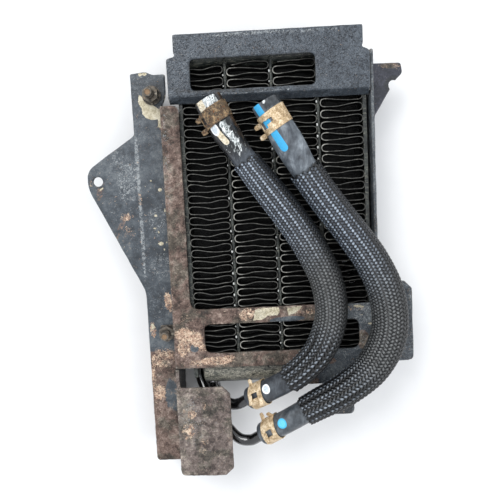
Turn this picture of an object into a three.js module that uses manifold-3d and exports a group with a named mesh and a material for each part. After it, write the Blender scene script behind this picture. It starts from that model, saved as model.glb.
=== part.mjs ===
// Hydraulic oil cooler: a small tube-and-fin core in a welded sheet-metal cradle, with two preformed
// rubber hoses pushed on its pipes. Millimetres. The cooler lies on its back: +X runs along the
// headers, +Y up the flat tubes and +Z out of the front face, with Z = 0 the plane it lies on.
import * as THREE from 'three';
import { mergeVertices } from 'three/addons/utils/BufferGeometryUtils.js';
import Module from 'manifold-3d';

const wasm = await Module();
wasm.setup();

// ---- driving dimensions, measured from the middle of the core ------------------------------------
const GAP = 0.3; // clearance between touching pieces
const SHEET = 2.5; // brackets, rails and webs
const SQUARE = 0.5; // corner radius of a sheared sheet corner

// Core: three flat tubes, four columns of folded fin and a flat strip down each side.
const TUBE_PITCH = 31;
const TUBE_THICKNESS = 2.4;
const TUBE_WIDTH = 15;
const TUBE_WALL = 0.6;
const CORE_Z = 27;
const FIN_DEPTH = 18;
const FIN_PERIOD = 7.5;
const FIN_FOLDS = 53;
const FIN_THICKNESS = 0.8;
const FIN_LOW = -101;
const STRIP_LOW = -117;
const STRIP_HIGH = 104;

// Headers: round tanks across both ends of the tubes, closed by end caps.
const HEADER_RADIUS = 9.5;
const HEADER_WALL = 1.5;
const HEADER_HALF_LENGTH = 55;
const HEADER_LOW_Y = -112.5;
const HEADER_HIGH_Y = 108;
const TUBE_INSERTION = 7.5; // how far a tube reaches past the header's surface

// Front frame: a plate with a slot, on a web down each side.
const FRAME_BACK = 38;
const FRAME_THICKNESS = 3;
const FRAME_FRONT = FRAME_BACK + FRAME_THICKNESS;
const FRAME_LEFT = -75.7;
const FRAME_TOP = 73.3;
const FRAME_BOTTOM = -108;
const FRAME_RIGHT = 90.5;
const BAR_RIGHT = -62.8;
const CROSSBAR_TOP = -66.3;
const RIGHT_WEB = 65.3;
const RIGHT_WEB_TOP = 103;
const LEFT_WEB_BACK = 8;
const SLOT = { left: -54, right: 53.3, low: -97.6, high: -77.2, radius: 4.5 };
const RIGHT_TAB_TOP = -52;
const BOTTOM_TAB = { left: 29, right: 48.5, low: -145, high: -118 };
const LOWER_TAB_LEFT = 6;
const LOWER_TAB_LOW = -122.3;

// Left side: an angle rail, the flat bracket bolted to it and the guard plate in front of the pipes.
const RAIL_RIGHT = -76;
const RAIL_LEFT = -92;
const RAIL_LOW = -178;
const RAIL_HIGH = 94;
const RAIL_FLANGE_BACK = 24.5;
const BRACKET_BACK = RAIL_FLANGE_BACK + SHEET + GAP;
const BRACKET_FRONT = BRACKET_BACK + SHEET;
const EAR_LEFT = -131.4;
const EAR_HOLE = [-124.1, 25.3];
const EAR_HOLE_RADIUS = 3.3;
const GUARD_BACK = 41;
const GUARD_THICKNESS = 3;
const GUARD_BOTTOM = -185.5;
const GUARD_TOP = -121;
const GUARD_RIGHT = -38;
const GUARD_CHAMFER = 5.4;
const GUARD_FOLD_BACK = 12;
const NOTCH = { x: 83.2, y: 80.8, radius: 3.4 }; // in the right bracket
const RIGHT_FOLD_BACK = 8;

// Top cover: a front face with a window and edges folded back.
const COVER_THICKNESS = 2.5;
const COVER_BACK = FRAME_FRONT + 0.4;
const COVER_FRONT = COVER_BACK + COVER_THICKNESS;
const COVER_TOP = 118.3;
const COVER_LEFT = -69;
const COVER_RIGHT = 65;
const COVER_LIP_Y = 78;
const COVER_LIP_Z = 37; // how far back the slanted lip reaches
const COVER_STEP_Y = 106; // where the cover narrows to clear the rails
const COVER_TOP_LEFT = -64;
const COVER_TOP_RIGHT = 61;
const COVER_UPPER_EDGE_BACK = 30;
const COVER_LOWER_EDGE_BACK = 26;
const COVER_WINDOW = { left: -53.5, right: 29, low: 81.7, high: 101.8, radius: 3 };

// M6 bolts that hold the bracket to the rail.
const BOLT_RADIUS = 3;
const BOLT_TIP_Z = 45;
const NUT_ACROSS_FLATS = 10;
const NUT_HEIGHT = 5;
const WASHER_THICKNESS = 1.4;
const WASHER_RADIUS = 6.5;
const CLIP_HALF_WIDTH = 5;
const CLIP_HALF_HEIGHT = 5.2;
const BOLT_HEAD_HEIGHT = 4;
const BOLT_PLACES = { upper: [-82.3, 82.3], lower: [-81.3, -83.5] };

// Pipes, hoses, sleeves and clamps.
const PIPE_RADIUS = 4;
const PIPE_WALL = 1;
const HOSE_RADIUS = 8.25;
const HOSE_BORE = 4.6;
const SLEEVE_RADIUS = 10.2;
const SLEEVE_BORE = 9;
const CLAMP_WIDTH = 12;
const CLAMP_RADIUS = 10;
const CLAMP_BORE = 9;
const TANG_REACH = 3.5; // how far a clamp's tangs stand out from its band
const TANG_THICKNESS = 1.2;
const ROUND_SIDES = 24;
const PIPE_SIDES = 12;
const HOSE_SIDES = 10;
const HOSE_STEP = 8; // length of one segment of a hose or sleeve

// Routes, as centreline points. The hoses start at the cooler's pipes.
const PIPE_LOWER_ROUTE = [
  [-50.5, -114, 27], [-50.5, -122, 27], [-48, -130, 28.5], [-42.3, -135.8, 31.5], [-37, -137.6, 33],
  [-32.2, -136.3, 35.3], [-28.3, -133.8, 37.3], [-24.1, -131.2, 39.7], [-19.4, -128.5, 42.3],
];
const PIPE_UPPER_ROUTE = [
  [-45, 108, 21], [-46, 107, 14], [-51, 101, 10], [-59, 88, 9.5], [-63.5, 70, 9.5], [-63.5, -85, 9.5],
  [-64, -106, 10], [-62, -122, 13], [-53, -141, 22], [-41, -157, 30.5], [-33, -163.5, 33.3],
  [-25.3, -163.8, 35], [-20.3, -160.7, 37.3], [-16, -157.5, 39.5], [-11.6, -154.2, 41.9],
];
const HOSE_WHITE_ROUTE = [
  [-24.1, -131.2, 39.7], [-10.5, -123, 46.8], [9.2, -110.5, 52.3], [25.2, -93.8, 52.4], [33, -71.5, 52.3],
  [30.8, -48, 52.3], [21.4, -26.3, 52.4], [9.2, -6, 53.5], [-4.6, 13.2, 55.3], [-18.3, 32.4, 57.5],
  [-31, 52.2, 59.5], [-41.4, 72.8, 60],
];
const HOSE_BLUE_ROUTE = [
  [-16, -157.5, 39.5], [-1.8, -147.3, 46.4], [19.6, -134.1, 51.4], [41.5, -122.3, 52.4], [60.6, -106.6, 52.4],
  [71.2, -84.2, 52.3], [70.4, -59.6, 52.3], [61.2, -36.6, 52.4], [47.3, -15.5, 53.2], [32.6, 4.8, 54.8],
  [18.7, 25.8, 57.2], [6.6, 47.6, 59.3], [-5.4, 69.4, 60],
];
// Where things sit along a hose, as a share of its length from the pipe.
const HOSE_WHITE_STATIONS = {
  sleeve: [0.1285, 0.822],
  clamps: [['pipe', 0.0374, [-0.2, -0.5, 1]], ['free', 0.952, [-1, -0.5, 0.1]]],
};
const HOSE_BLUE_STATIONS = {
  sleeve: [0.125, 0.832],
  clamps: [['pipe', 0.031, [-0.5, 0.8, 0.4]], ['free', 0.956, [-1, -0.5, 0.1]]],
};

// ---- finishes -------------------------------------------------------------------------------------
const finish = (color, roughness, metalness) => (
  new THREE.MeshStandardMaterial({ color, roughness, metalness })
);
const FINISHES = {
  corePaint: () => finish(0x2b2f31, 0.55, 0.6),
  coverPaint: () => finish(0x4a535c, 0.6, 0.2),
  slatePaint: () => finish(0x4b5258, 0.65, 0.2),
  rust: () => finish(0x6b4f45, 0.9, 0.1),
  guardRust: () => finish(0x625652, 0.95, 0.1),
  fastener: () => finish(0x5c4a40, 0.7, 0.6),
  pipeGloss: () => finish(0x101214, 0.25, 0.1),
  rubber: () => finish(0x3a3d42, 0.8, 0),
  braid: () => finish(0x15171c, 0.6, 0),
  zinc: () => finish(0xb99a6c, 0.4, 0.8),
};

// ---- shape helpers --------------------------------------------------------------------------------
const vector = ([x, y, z]) => new THREE.Vector3(x, y, z);

/** A closed outline through corners [x, y, radius], each rounded by its radius. */
function outline(corners) {
  const shape = new THREE.Shape();
  corners.forEach(([x, y, radius], i) => {
    const corner = new THREE.Vector2(x, y);
    const towards = ([otherX, otherY]) => (
      new THREE.Vector2(otherX, otherY).sub(corner).setLength(radius).add(corner)
    );
    const before = towards(corners.at(i - 1));
    const after = towards(corners[(i + 1) % corners.length]);
    if (i === 0) shape.moveTo(before.x, before.y);
    else shape.lineTo(before.x, before.y);
    shape.quadraticCurveTo(x, y, after.x, after.y);
  });
  return shape;
}

function rectangle(left, right, low, high, radius = SQUARE) {
  return outline([[left, low, radius], [right, low, radius], [right, high, radius], [left, high, radius]]);
}

/** A sheet cut to a shape, lying from z = back to z = front. */
function sheet(shape, back, front, curveSegments = 3) {
  const depth = front - back;
  const geometry = new THREE.ExtrudeGeometry(shape, { depth, bevelEnabled: false, curveSegments });
  return geometry.translate(0, 0, back);
}

function block(left, right, low, high, back, front) {
  const geometry = new THREE.BoxGeometry(right - left, high - low, front - back);
  return geometry.translate((left + right) / 2, (low + high) / 2, (back + front) / 2);
}

/** A round bar of a radius along X between two ends. */
function barAlongX(radius, left, right, y, z) {
  const geometry = new THREE.CylinderGeometry(radius, radius, right - left, ROUND_SIDES);
  return geometry.rotateZ(Math.PI / 2).translate((left + right) / 2, y, z);
}

function circle(radius, x = 0, y = 0) {
  return new THREE.Path().absarc(x, y, radius, 0, 2 * Math.PI, true);
}

/** A regular ring or disc section with the given number of sides. */
function roundSection(radius, bore, sides) {
  const corners = (r) => Array.from({ length: sides }, (_, i) => {
    const angle = (2 * Math.PI * i) / sides;
    return new THREE.Vector2(r * Math.cos(angle), r * Math.sin(angle));
  });
  const shape = new THREE.Shape(corners(radius));
  if (bore > 0) shape.holes.push(new THREE.Path(corners(bore).reverse()));
  return shape;
}

/** A round tube along a curve, hollow where bore is over zero. */
function tube(curve, radius, bore, sides, step) {
  const steps = Math.max(2, Math.round(curve.getLength() / step));
  return new THREE.ExtrudeGeometry(roundSection(radius, bore, sides), { extrudePath: curve, steps });
}

/** The stretch of a curve between two shares of its length, as a curve of its own. */
function stretch(curve, from, to, count) {
  const at = (i) => curve.getPointAt(from + ((to - from) * i) / count);
  return new THREE.CatmullRomCurve3(Array.from({ length: count + 1 }, (_, i) => at(i)));
}

/** A strip of even thickness that follows square-cornered points. */
function ribbon(points, thickness) {
  const side = (sign) => points.map((point, i) => {
    const before = point.clone().sub(points[Math.max(i - 1, 0)]).normalize();
    const after = points[Math.min(i + 1, points.length - 1)].clone().sub(point).normalize();
    const offset = new THREE.Vector2(-before.y - after.y, before.x + after.x);
    return point.clone().addScaledVector(offset, (sign * thickness) / 2);
  });
  return new THREE.Shape([...side(1), ...side(-1).reverse()]);
}

// ---- solids: booleans on closed meshes ------------------------------------------------------------
function solid(geometry) {
  const bare = geometry.clone();
  bare.deleteAttribute('normal');
  bare.deleteAttribute('uv');
  const merged = mergeVertices(bare, 1e-4);
  const vertProperties = Float32Array.from(merged.attributes.position.array);
  const triVerts = Uint32Array.from(merged.index.array);
  return new wasm.Manifold(new wasm.Mesh({ numProp: 3, vertProperties, triVerts }));
}

function geometryOf(manifold) {
  const mesh = manifold.getMesh();
  const geometry = new THREE.BufferGeometry();
  geometry.setAttribute('position', new THREE.BufferAttribute(mesh.vertProperties, 3));
  geometry.setIndex(new THREE.BufferAttribute(mesh.triVerts, 1));
  return geometry;
}

const join = (...geometries) => geometryOf(geometries.map(solid).reduce((whole, next) => whole.add(next)));
const cut = (geometry, ...tools) => (
  geometryOf(tools.map(solid).reduce((rest, tool) => rest.subtract(tool), solid(geometry)))
);

// ---- assembly -------------------------------------------------------------------------------------
const assembly = new THREE.Group();

function piece(name, geometry, material) {
  const mesh = new THREE.Mesh(geometry, material);
  mesh.name = name;
  assembly.add(mesh);
  return mesh;
}

/** A flat tube's stadium section, width along Z and thickness along X, grown by a margin. */
function flatTube(x, low, high, margin, hollow) {
  const half = (TUBE_WIDTH - TUBE_THICKNESS) / 2;
  const end = TUBE_THICKNESS / 2 + margin;
  const stadium = (path, radius) => path
    .absarc(half, 0, radius, -Math.PI / 2, Math.PI / 2)
    .absarc(-half, 0, radius, Math.PI / 2, (3 * Math.PI) / 2);
  const shape = stadium(new THREE.Shape(), end);
  if (hollow) shape.holes.push(stadium(new THREE.Path(), end - TUBE_WALL));
  const depth = high - low;
  const geometry = new THREE.ExtrudeGeometry(shape, { depth, bevelEnabled: false, curveSegments: 3 });
  return geometry.rotateX(-Math.PI / 2).rotateY(Math.PI / 2).translate(x, low, CORE_Z);
}

const TUBE_LOW = HEADER_LOW_Y + HEADER_RADIUS - TUBE_INSERTION;
const TUBE_HIGH = HEADER_HIGH_Y - HEADER_RADIUS + TUBE_INSERTION;
const TUBE_PLACES = [-1, 0, 1].map((i) => i * TUBE_PITCH);

function addTubes() {
  TUBE_PLACES.forEach((x, i) => {
    piece(`flat_tube_${i + 1}`, flatTube(x, TUBE_LOW, TUBE_HIGH, 0, true), FINISHES.corePaint());
  });
}

/** One column of folded fin: level rows joined by folds at alternate ends. */
function addFins() {
  const reach = (TUBE_PITCH - TUBE_THICKNESS) / 2 - GAP - FIN_THICKNESS / 2;
  const points = [];
  for (let row = 0; row <= FIN_FOLDS; row += 1) {
    const y = FIN_LOW + (row * FIN_PERIOD) / 2;
    const start = row % 2 === 0 ? -1 : 1;
    points.push(new THREE.Vector2(start * reach, y), new THREE.Vector2(-start * reach, y));
  }
  const column = sheet(ribbon(points, FIN_THICKNESS), CORE_Z - FIN_DEPTH / 2, CORE_Z + FIN_DEPTH / 2);
  for (let i = 0; i < TUBE_PLACES.length + 1; i += 1) {
    const mesh = piece(`fin_column_${i + 1}`, column, FINISHES.corePaint());
    mesh.position.x = (i - TUBE_PLACES.length / 2) * TUBE_PITCH;
  }
}

/** The strips that close the outer fin columns. */
function addCoreStrips() {
  const strip = (x) => {
    const shape = rectangle(CORE_Z - FIN_DEPTH / 2, CORE_Z + FIN_DEPTH / 2, STRIP_LOW, STRIP_HIGH, 4);
    const half = TUBE_THICKNESS / 2;
    return sheet(shape, -half, half).rotateY(-Math.PI / 2).translate(x, 0, 0);
  };
  piece('core_strip_left', strip(-2 * TUBE_PITCH), FINISHES.corePaint());
  piece('core_strip_right', strip(2 * TUBE_PITCH), FINISHES.corePaint());
}

function headerBar(y, radius) {
  return barAlongX(radius, -HEADER_HALF_LENGTH, HEADER_HALF_LENGTH, y, CORE_Z);
}

/** A header tube with a slot for every flat tube and a port for its pipe. */
function header(y, portRoute) {
  const past = HEADER_HALF_LENGTH + 1;
  const bore = barAlongX(HEADER_RADIUS - HEADER_WALL, -past, past, y, CORE_Z);
  const slots = TUBE_PLACES.map((x) => flatTube(x, TUBE_LOW, TUBE_HIGH, GAP, false));
  const portAxis = new THREE.LineCurve3(vector(portRoute[0]), vector(portRoute[1]));
  const port = tube(portAxis, PIPE_RADIUS - PIPE_WALL, 0, PIPE_SIDES, 20);
  return cut(headerBar(y, HEADER_RADIUS), bore, ...slots, port);
}

/** A pressed cap with a spigot that fits inside the header. */
function addHeaderCaps(name, y) {
  const spigot = HEADER_RADIUS - HEADER_WALL - GAP;
  const profile = [
    [0, -1.5], [spigot, -1.5], [spigot, GAP], [HEADER_RADIUS, GAP], [HEADER_RADIUS, 1.2], [7, 2.2], [0, 2.4],
  ]; // radius and height, from the spigot's end to the crown
  const cap = new THREE.LatheGeometry(profile.map(([r, h]) => new THREE.Vector2(r, h)), ROUND_SIDES);
  [['left', -1], ['right', 1]].forEach(([sideName, side]) => {
    const mesh = piece(`${name}_cap_${sideName}`, cap, FINISHES.corePaint());
    mesh.rotation.z = -side * Math.PI / 2;
    mesh.position.set(side * HEADER_HALF_LENGTH, y, CORE_Z);
  });
}

function addHeaders() {
  piece('header_bottom', header(HEADER_LOW_Y, PIPE_LOWER_ROUTE), FINISHES.corePaint());
  piece('header_top', header(HEADER_HIGH_Y, PIPE_UPPER_ROUTE), FINISHES.corePaint());
  addHeaderCaps('header_bottom', HEADER_LOW_Y);
  addHeaderCaps('header_top', HEADER_HIGH_Y);
}

/** The front plate: left bar, crossbar, slotted lower bar, a bottom tab and a right tab. */
function frontPlateShape() {
  const shape = outline([
    [FRAME_LEFT, FRAME_TOP, SQUARE], [BAR_RIGHT, FRAME_TOP, 5], [BAR_RIGHT, CROSSBAR_TOP, 6],
    [RIGHT_WEB, CROSSBAR_TOP, 4], [RIGHT_WEB, RIGHT_TAB_TOP, SQUARE], [85, RIGHT_TAB_TOP, SQUARE],
    [90, -57.5, SQUARE], [FRAME_RIGHT, FRAME_BOTTOM, 4], [72, FRAME_BOTTOM, SQUARE],
    [BOTTOM_TAB.right, BOTTOM_TAB.high, SQUARE], [BOTTOM_TAB.right, BOTTOM_TAB.low, 4],
    [BOTTOM_TAB.left, BOTTOM_TAB.low, 2], [BOTTOM_TAB.left, LOWER_TAB_LOW, SQUARE],
    [LOWER_TAB_LEFT, LOWER_TAB_LOW, SQUARE], [LOWER_TAB_LEFT, FRAME_BOTTOM, SQUARE],
    [FRAME_LEFT, FRAME_BOTTOM, SQUARE],
  ].reverse());
  shape.holes.push(rectangle(SLOT.left, SLOT.right, SLOT.low, SLOT.high, SLOT.radius));
  return shape;
}

function addFrontFrame() {
  const plate = sheet(frontPlateShape(), FRAME_BACK, FRAME_FRONT);
  const web = (left, high, back, front) => block(left, left + SHEET, FRAME_BOTTOM, high, back, front);
  const leftWeb = web(FRAME_LEFT, FRAME_TOP, LEFT_WEB_BACK, FRAME_BACK + 1);
  const rightWeb = web(RIGHT_WEB, RIGHT_WEB_TOP, 0, FRAME_FRONT);
  piece('front_frame', join(plate, leftWeb, rightWeb), FINISHES.rust());
}

/** The cover's face, its slanted lower lip and the edges folded back at the top and down the sides. */
function addTopCover() {
  const shape = outline([
    [COVER_TOP_LEFT, COVER_TOP, 1.5], [COVER_TOP_LEFT, COVER_STEP_Y, SQUARE], [-62.5, 104.5, SQUARE],
    [COVER_LEFT, 103, 1.5], [COVER_LEFT, COVER_LIP_Y, SQUARE], [COVER_RIGHT, COVER_LIP_Y, SQUARE],
    [COVER_RIGHT, 102, 1.5], [59.5, 104.5, SQUARE], [COVER_TOP_RIGHT, COVER_STEP_Y, SQUARE],
    [COVER_TOP_RIGHT, COVER_TOP, 1.5],
  ]);
  const opening = COVER_WINDOW;
  shape.holes.push(rectangle(opening.left, opening.right, opening.low, opening.high, opening.radius));
  const face = sheet(shape, COVER_BACK, COVER_FRONT);
  const lipProfile = new THREE.Shape([
    new THREE.Vector2(COVER_LIP_Y, COVER_FRONT), new THREE.Vector2(COVER_LIP_Y + 1, COVER_BACK),
    new THREE.Vector2(COVER_LIP_Y - 1.5, COVER_LIP_Z), new THREE.Vector2(COVER_LIP_Y - 4, COVER_LIP_Z),
  ].reverse());
  const lip = sheet(lipProfile, COVER_LEFT, COVER_RIGHT).rotateX(Math.PI / 2).rotateZ(Math.PI / 2);
  const edge = (left, right, low, high, back) => block(left, right, low, high, back, COVER_FRONT - 1);
  const topEdge = edge(COVER_TOP_LEFT, COVER_TOP_RIGHT, COVER_TOP - 2, COVER_TOP, FRAME_BACK);
  const sideEdges = [
    edge(COVER_TOP_LEFT, COVER_TOP_LEFT + 2, COVER_STEP_Y + 1, COVER_TOP, COVER_UPPER_EDGE_BACK),
    edge(COVER_TOP_RIGHT - 2, COVER_TOP_RIGHT, COVER_STEP_Y + 1, COVER_TOP, COVER_UPPER_EDGE_BACK),
    edge(COVER_LEFT, COVER_LEFT + 1.5, COVER_LIP_Y - 2, 102, COVER_LOWER_EDGE_BACK),
    edge(COVER_RIGHT - 1.3, COVER_RIGHT, COVER_LIP_Y - 2, 101, COVER_LOWER_EDGE_BACK),
  ];
  piece('top_cover', join(face, lip, topEdge, ...sideEdges), FINISHES.coverPaint());
}

function addLeftRail() {
  const flangeFront = RAIL_FLANGE_BACK + SHEET;
  const web = block(RAIL_LEFT, RAIL_LEFT + SHEET, RAIL_LOW, RAIL_HIGH, 0, flangeFront);
  const flange = block(RAIL_LEFT, RAIL_RIGHT, RAIL_LOW, RAIL_HIGH, RAIL_FLANGE_BACK, flangeFront);
  const holes = Object.values(BOLT_PLACES).map(([x, y]) => boltHole(x, y));
  piece('left_rail', cut(join(web, flange), ...holes), FINISHES.slatePaint());
}

function boltHole(x, y) {
  const hole = new THREE.Shape().absarc(x, y, BOLT_RADIUS + GAP, 0, 2 * Math.PI);
  return sheet(hole, 0, BOLT_TIP_Z, 12);
}

/** The flat bracket: a long plate with a three-cornered ear that has the mounting hole. */
function addLeftBracket() {
  const shape = outline([
    [-96.9, 97.6, 1], [-96.6, 56, 2], [EAR_LEFT, 33.3, 6], [EAR_LEFT, 20.5, 5], [-95.5, -54, 4],
    [-95.3, -179.5, 3], [-76.3, -179.5, SQUARE], [-76.3, 74, 3], [-72.5, 81, 4], [-72.5, 96.4, 1],
    [-81, 96.4, 1], [-86, 98.7, 1],
  ]);
  shape.holes.push(circle(EAR_HOLE_RADIUS, ...EAR_HOLE));
  Object.values(BOLT_PLACES).forEach(([x, y]) => shape.holes.push(circle(BOLT_RADIUS + GAP, x, y)));
  piece('left_bracket', sheet(shape, BRACKET_BACK, BRACKET_FRONT, 6), FINISHES.slatePaint());
}

/** The guard plate. Its left edge is folded back against the rail and reaches up to the frame's web. */
function addGuardPlate() {
  const [right, top] = [GUARD_RIGHT, GUARD_TOP];
  const shape = outline([
    [FRAME_LEFT, top, 1], [FRAME_LEFT, GUARD_BOTTOM + 0.6, 4], [right - GUARD_CHAMFER, GUARD_BOTTOM, SQUARE],
    [right, GUARD_BOTTOM + GUARD_CHAMFER, SQUARE], [right, top - GUARD_CHAMFER, SQUARE],
    [right - GUARD_CHAMFER, top, SQUARE],
  ]);
  const face = sheet(shape, GUARD_BACK, GUARD_BACK + GUARD_THICKNESS);
  const foldHigh = FRAME_BOTTOM - GAP;
  const fold = block(FRAME_LEFT, FRAME_LEFT + SHEET, RAIL_LOW, foldHigh, GUARD_FOLD_BACK, GUARD_BACK + 1);
  piece('guard_plate', join(face, fold), FINISHES.guardRust());
}

/** The right bracket: a tapered tab with a half-round notch, folded back along the frame's web. */
function addRightBracket() {
  const inner = RIGHT_WEB + SHEET + GAP;
  const shape = outline([
    [inner, 96, SQUARE], [inner, 57.5, SQUARE], [79.5, 76, SQUARE], [85, 84.6, 2], [89.6, 88.6, 2],
    [88.3, 95.7, 1.5],
  ]);
  const plate = sheet(shape, BRACKET_BACK, BRACKET_FRONT);
  const fold = block(inner, inner + SHEET, 59, 95.5, RIGHT_FOLD_BACK, BRACKET_BACK + 1);
  const notch = new THREE.Shape().absarc(NOTCH.x, NOTCH.y, NOTCH.radius, 0, 2 * Math.PI);
  const cutter = sheet(notch, BRACKET_BACK - 1, BRACKET_FRONT + 1, 12);
  piece('right_bracket', cut(join(plate, fold), cutter), FINISHES.slatePaint());
}

/** A regular hexagon of the nut's size across flats, with a flat to each side. */
function hexagon() {
  const corner = (i) => (Math.PI * (2 * i + 1)) / 6;
  const radius = NUT_ACROSS_FLATS / Math.sqrt(3);
  return new THREE.Shape([0, 1, 2, 3, 4, 5].map((i) => (
    new THREE.Vector2(radius * Math.cos(corner(i)), radius * Math.sin(corner(i)))
  )));
}

/** A bolt from behind the rail, its washer and its nut. The lower bolt has a square clip for a washer. */
function addFasteners() {
  const headFront = RAIL_FLANGE_BACK - GAP;
  const washerBack = BRACKET_FRONT + GAP;
  const nutBack = washerBack + WASHER_THICKNESS + GAP;
  Object.entries(BOLT_PLACES).forEach(([place, [x, y]]) => {
    const head = sheet(hexagon(), headFront - BOLT_HEAD_HEIGHT, headFront);
    const shank = sheet(roundSection(BOLT_RADIUS, 0, 16), headFront - 1, BOLT_TIP_Z);
    const nutShape = hexagon();
    nutShape.holes.push(circle(BOLT_RADIUS + GAP));
    const washerShape = place === 'upper'
      ? roundSection(WASHER_RADIUS, 0, ROUND_SIDES)
      : rectangle(-CLIP_HALF_WIDTH, CLIP_HALF_WIDTH, -CLIP_HALF_HEIGHT, CLIP_HALF_HEIGHT);
    washerShape.holes.push(circle(BOLT_RADIUS + GAP));
    const washerName = place === 'upper' ? 'upper_washer' : 'lower_square_clip';
    const washer = sheet(washerShape, washerBack, washerBack + WASHER_THICKNESS, 8);
    const nut = sheet(nutShape, nutBack, nutBack + NUT_HEIGHT, 8);
    [[`${place}_bolt`, join(head, shank)], [washerName, washer], [`${place}_nut`, nut]].forEach(
      ([name, geometry]) => piece(name, geometry, FINISHES.fastener()).position.set(x, y, 0),
    );
  });
}

const curveThrough = (route) => new THREE.CatmullRomCurve3(route.map(vector));

/** A steel pipe from a header, trimmed to sit on it. The pipe's last stretch is inside its hose. */
function addPipe(name, route, headerY, step) {
  const run = tube(curveThrough(route), PIPE_RADIUS, PIPE_RADIUS - PIPE_WALL, PIPE_SIDES, step);
  piece(name, cut(run, headerBar(headerY, HEADER_RADIUS + GAP)), FINISHES.pipeGloss());
}

function addPipes() {
  addPipe('pipe_lower', PIPE_LOWER_ROUTE, HEADER_LOW_Y, 4);
  addPipe('pipe_upper', PIPE_UPPER_ROUTE, HEADER_HIGH_Y, 7);
}

/** A spring band clamp: an open ring with two tangs, centred on the origin along Z. */
function clampBand() {
  const band = roundSection(CLAMP_RADIUS, CLAMP_BORE, ROUND_SIDES);
  const ring = sheet(band, -CLAMP_WIDTH / 2, CLAMP_WIDTH / 2);
  const tang = (low, halfWidth) => (
    block(CLAMP_RADIUS - 0.6, CLAMP_RADIUS + TANG_REACH, low, low + TANG_THICKNESS, -halfWidth, halfWidth)
  );
  return join(ring, tang(-3.2, 4), tang(2, 2));
}

/** Puts a clamp round a curve at a share of its length, with its tangs on the side given by a direction. */
function addClamp(name, curve, share, tangSide) {
  const axis = curve.getTangentAt(share);
  const across = vector(tangSide).projectOnPlane(axis).normalize();
  const basis = new THREE.Matrix4().makeBasis(across, axis.clone().cross(across), axis);
  const mesh = piece(name, clampBand(), FINISHES.zinc());
  mesh.position.copy(curve.getPointAt(share));
  mesh.quaternion.setFromRotationMatrix(basis);
}

function addHose(colour, route, stations) {
  const curve = curveThrough(route);
  piece(`hose_${colour}`, tube(curve, HOSE_RADIUS, HOSE_BORE, HOSE_SIDES, HOSE_STEP), FINISHES.rubber());
  const [from, to] = stations.sleeve;
  const covered = stretch(curve, from, to, 40);
  const sleeve = tube(covered, SLEEVE_RADIUS, SLEEVE_BORE, HOSE_SIDES, HOSE_STEP);
  piece(`sleeve_${colour}`, sleeve, FINISHES.braid());
  stations.clamps.forEach(([end, share, tangSide]) => {
    addClamp(`clamp_${colour}_${end}`, curve, share, tangSide);
  });
}

addTubes();
addFins();
addCoreStrips();
addHeaders();
addFrontFrame();
addTopCover();
addLeftRail();
addLeftBracket();
addGuardPlate();
addRightBracket();
addFasteners();
addPipes();
addHose('white', HOSE_WHITE_ROUTE, HOSE_WHITE_STATIONS);
addHose('blue', HOSE_BLUE_ROUTE, HOSE_BLUE_STATIONS);

// The finished part's origin is the middle of its outline, on the plane it lies on.
assembly.position.set(-(EAR_LEFT + FRAME_RIGHT) / 2, -(GUARD_BOTTOM + COVER_TOP) / 2, 0);
const cooler = new THREE.Group();
cooler.name = 'hydraulic_oil_cooler';
cooler.add(assembly);

export default cooler;
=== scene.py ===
# Looks of the hydraulic oil cooler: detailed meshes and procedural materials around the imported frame.
# Blender works in metres. Sizes here are in millimetres from the middle of the core, and at() and MM
# turn them into the row frame's metres.
import math
import random

import bmesh
import bpy
import numpy as np
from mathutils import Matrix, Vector, noise


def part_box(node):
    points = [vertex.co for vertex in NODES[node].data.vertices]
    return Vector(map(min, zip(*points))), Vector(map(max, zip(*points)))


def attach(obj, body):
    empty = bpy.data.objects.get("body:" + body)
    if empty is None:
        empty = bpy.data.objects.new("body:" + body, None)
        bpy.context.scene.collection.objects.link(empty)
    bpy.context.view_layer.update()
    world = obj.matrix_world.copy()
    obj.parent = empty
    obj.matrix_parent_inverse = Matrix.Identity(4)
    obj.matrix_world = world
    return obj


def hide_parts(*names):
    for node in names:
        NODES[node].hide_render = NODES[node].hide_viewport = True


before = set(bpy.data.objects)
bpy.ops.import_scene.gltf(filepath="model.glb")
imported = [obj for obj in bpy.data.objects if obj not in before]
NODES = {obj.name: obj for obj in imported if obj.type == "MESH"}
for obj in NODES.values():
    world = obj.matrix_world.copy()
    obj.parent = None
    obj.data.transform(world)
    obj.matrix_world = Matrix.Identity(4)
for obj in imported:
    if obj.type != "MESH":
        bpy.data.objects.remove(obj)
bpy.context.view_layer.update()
MM = 0.001
CORE_X = 20.45
CORE_Y = 33.6


def at(x, y, z):
    """A point given in millimetres from the middle of the core, in the row frame."""
    return Vector(((CORE_X + x) * MM, (CORE_Y + y) * MM, z * MM))


def from_core(point):
    """A point of the row frame in millimetres from the middle of the core."""
    return point.x / MM - CORE_X, point.y / MM - CORE_Y, point.z / MM


# ---- camera -----------------------------------------------------------------------------------------
SENSOR_WIDTH = 36
LENS = 40.3
EYE = (-7.5, 10.7, 421.7)
TURN_DEGREES = (-5.55, 1.79, -2.60)


def make_camera():
    camera = bpy.data.objects.new("camera", bpy.data.cameras.new("camera"))
    bpy.context.scene.collection.objects.link(camera)
    camera.data.sensor_width = SENSOR_WIDTH
    camera.data.lens = LENS
    camera.data.clip_start = 0.01
    camera.data.clip_end = 5
    camera.rotation_mode = "ZYX"
    camera.rotation_euler = [math.radians(a) for a in TURN_DEGREES]
    camera.location = at(*EYE)
    bpy.context.scene.camera = camera


make_camera()

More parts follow.
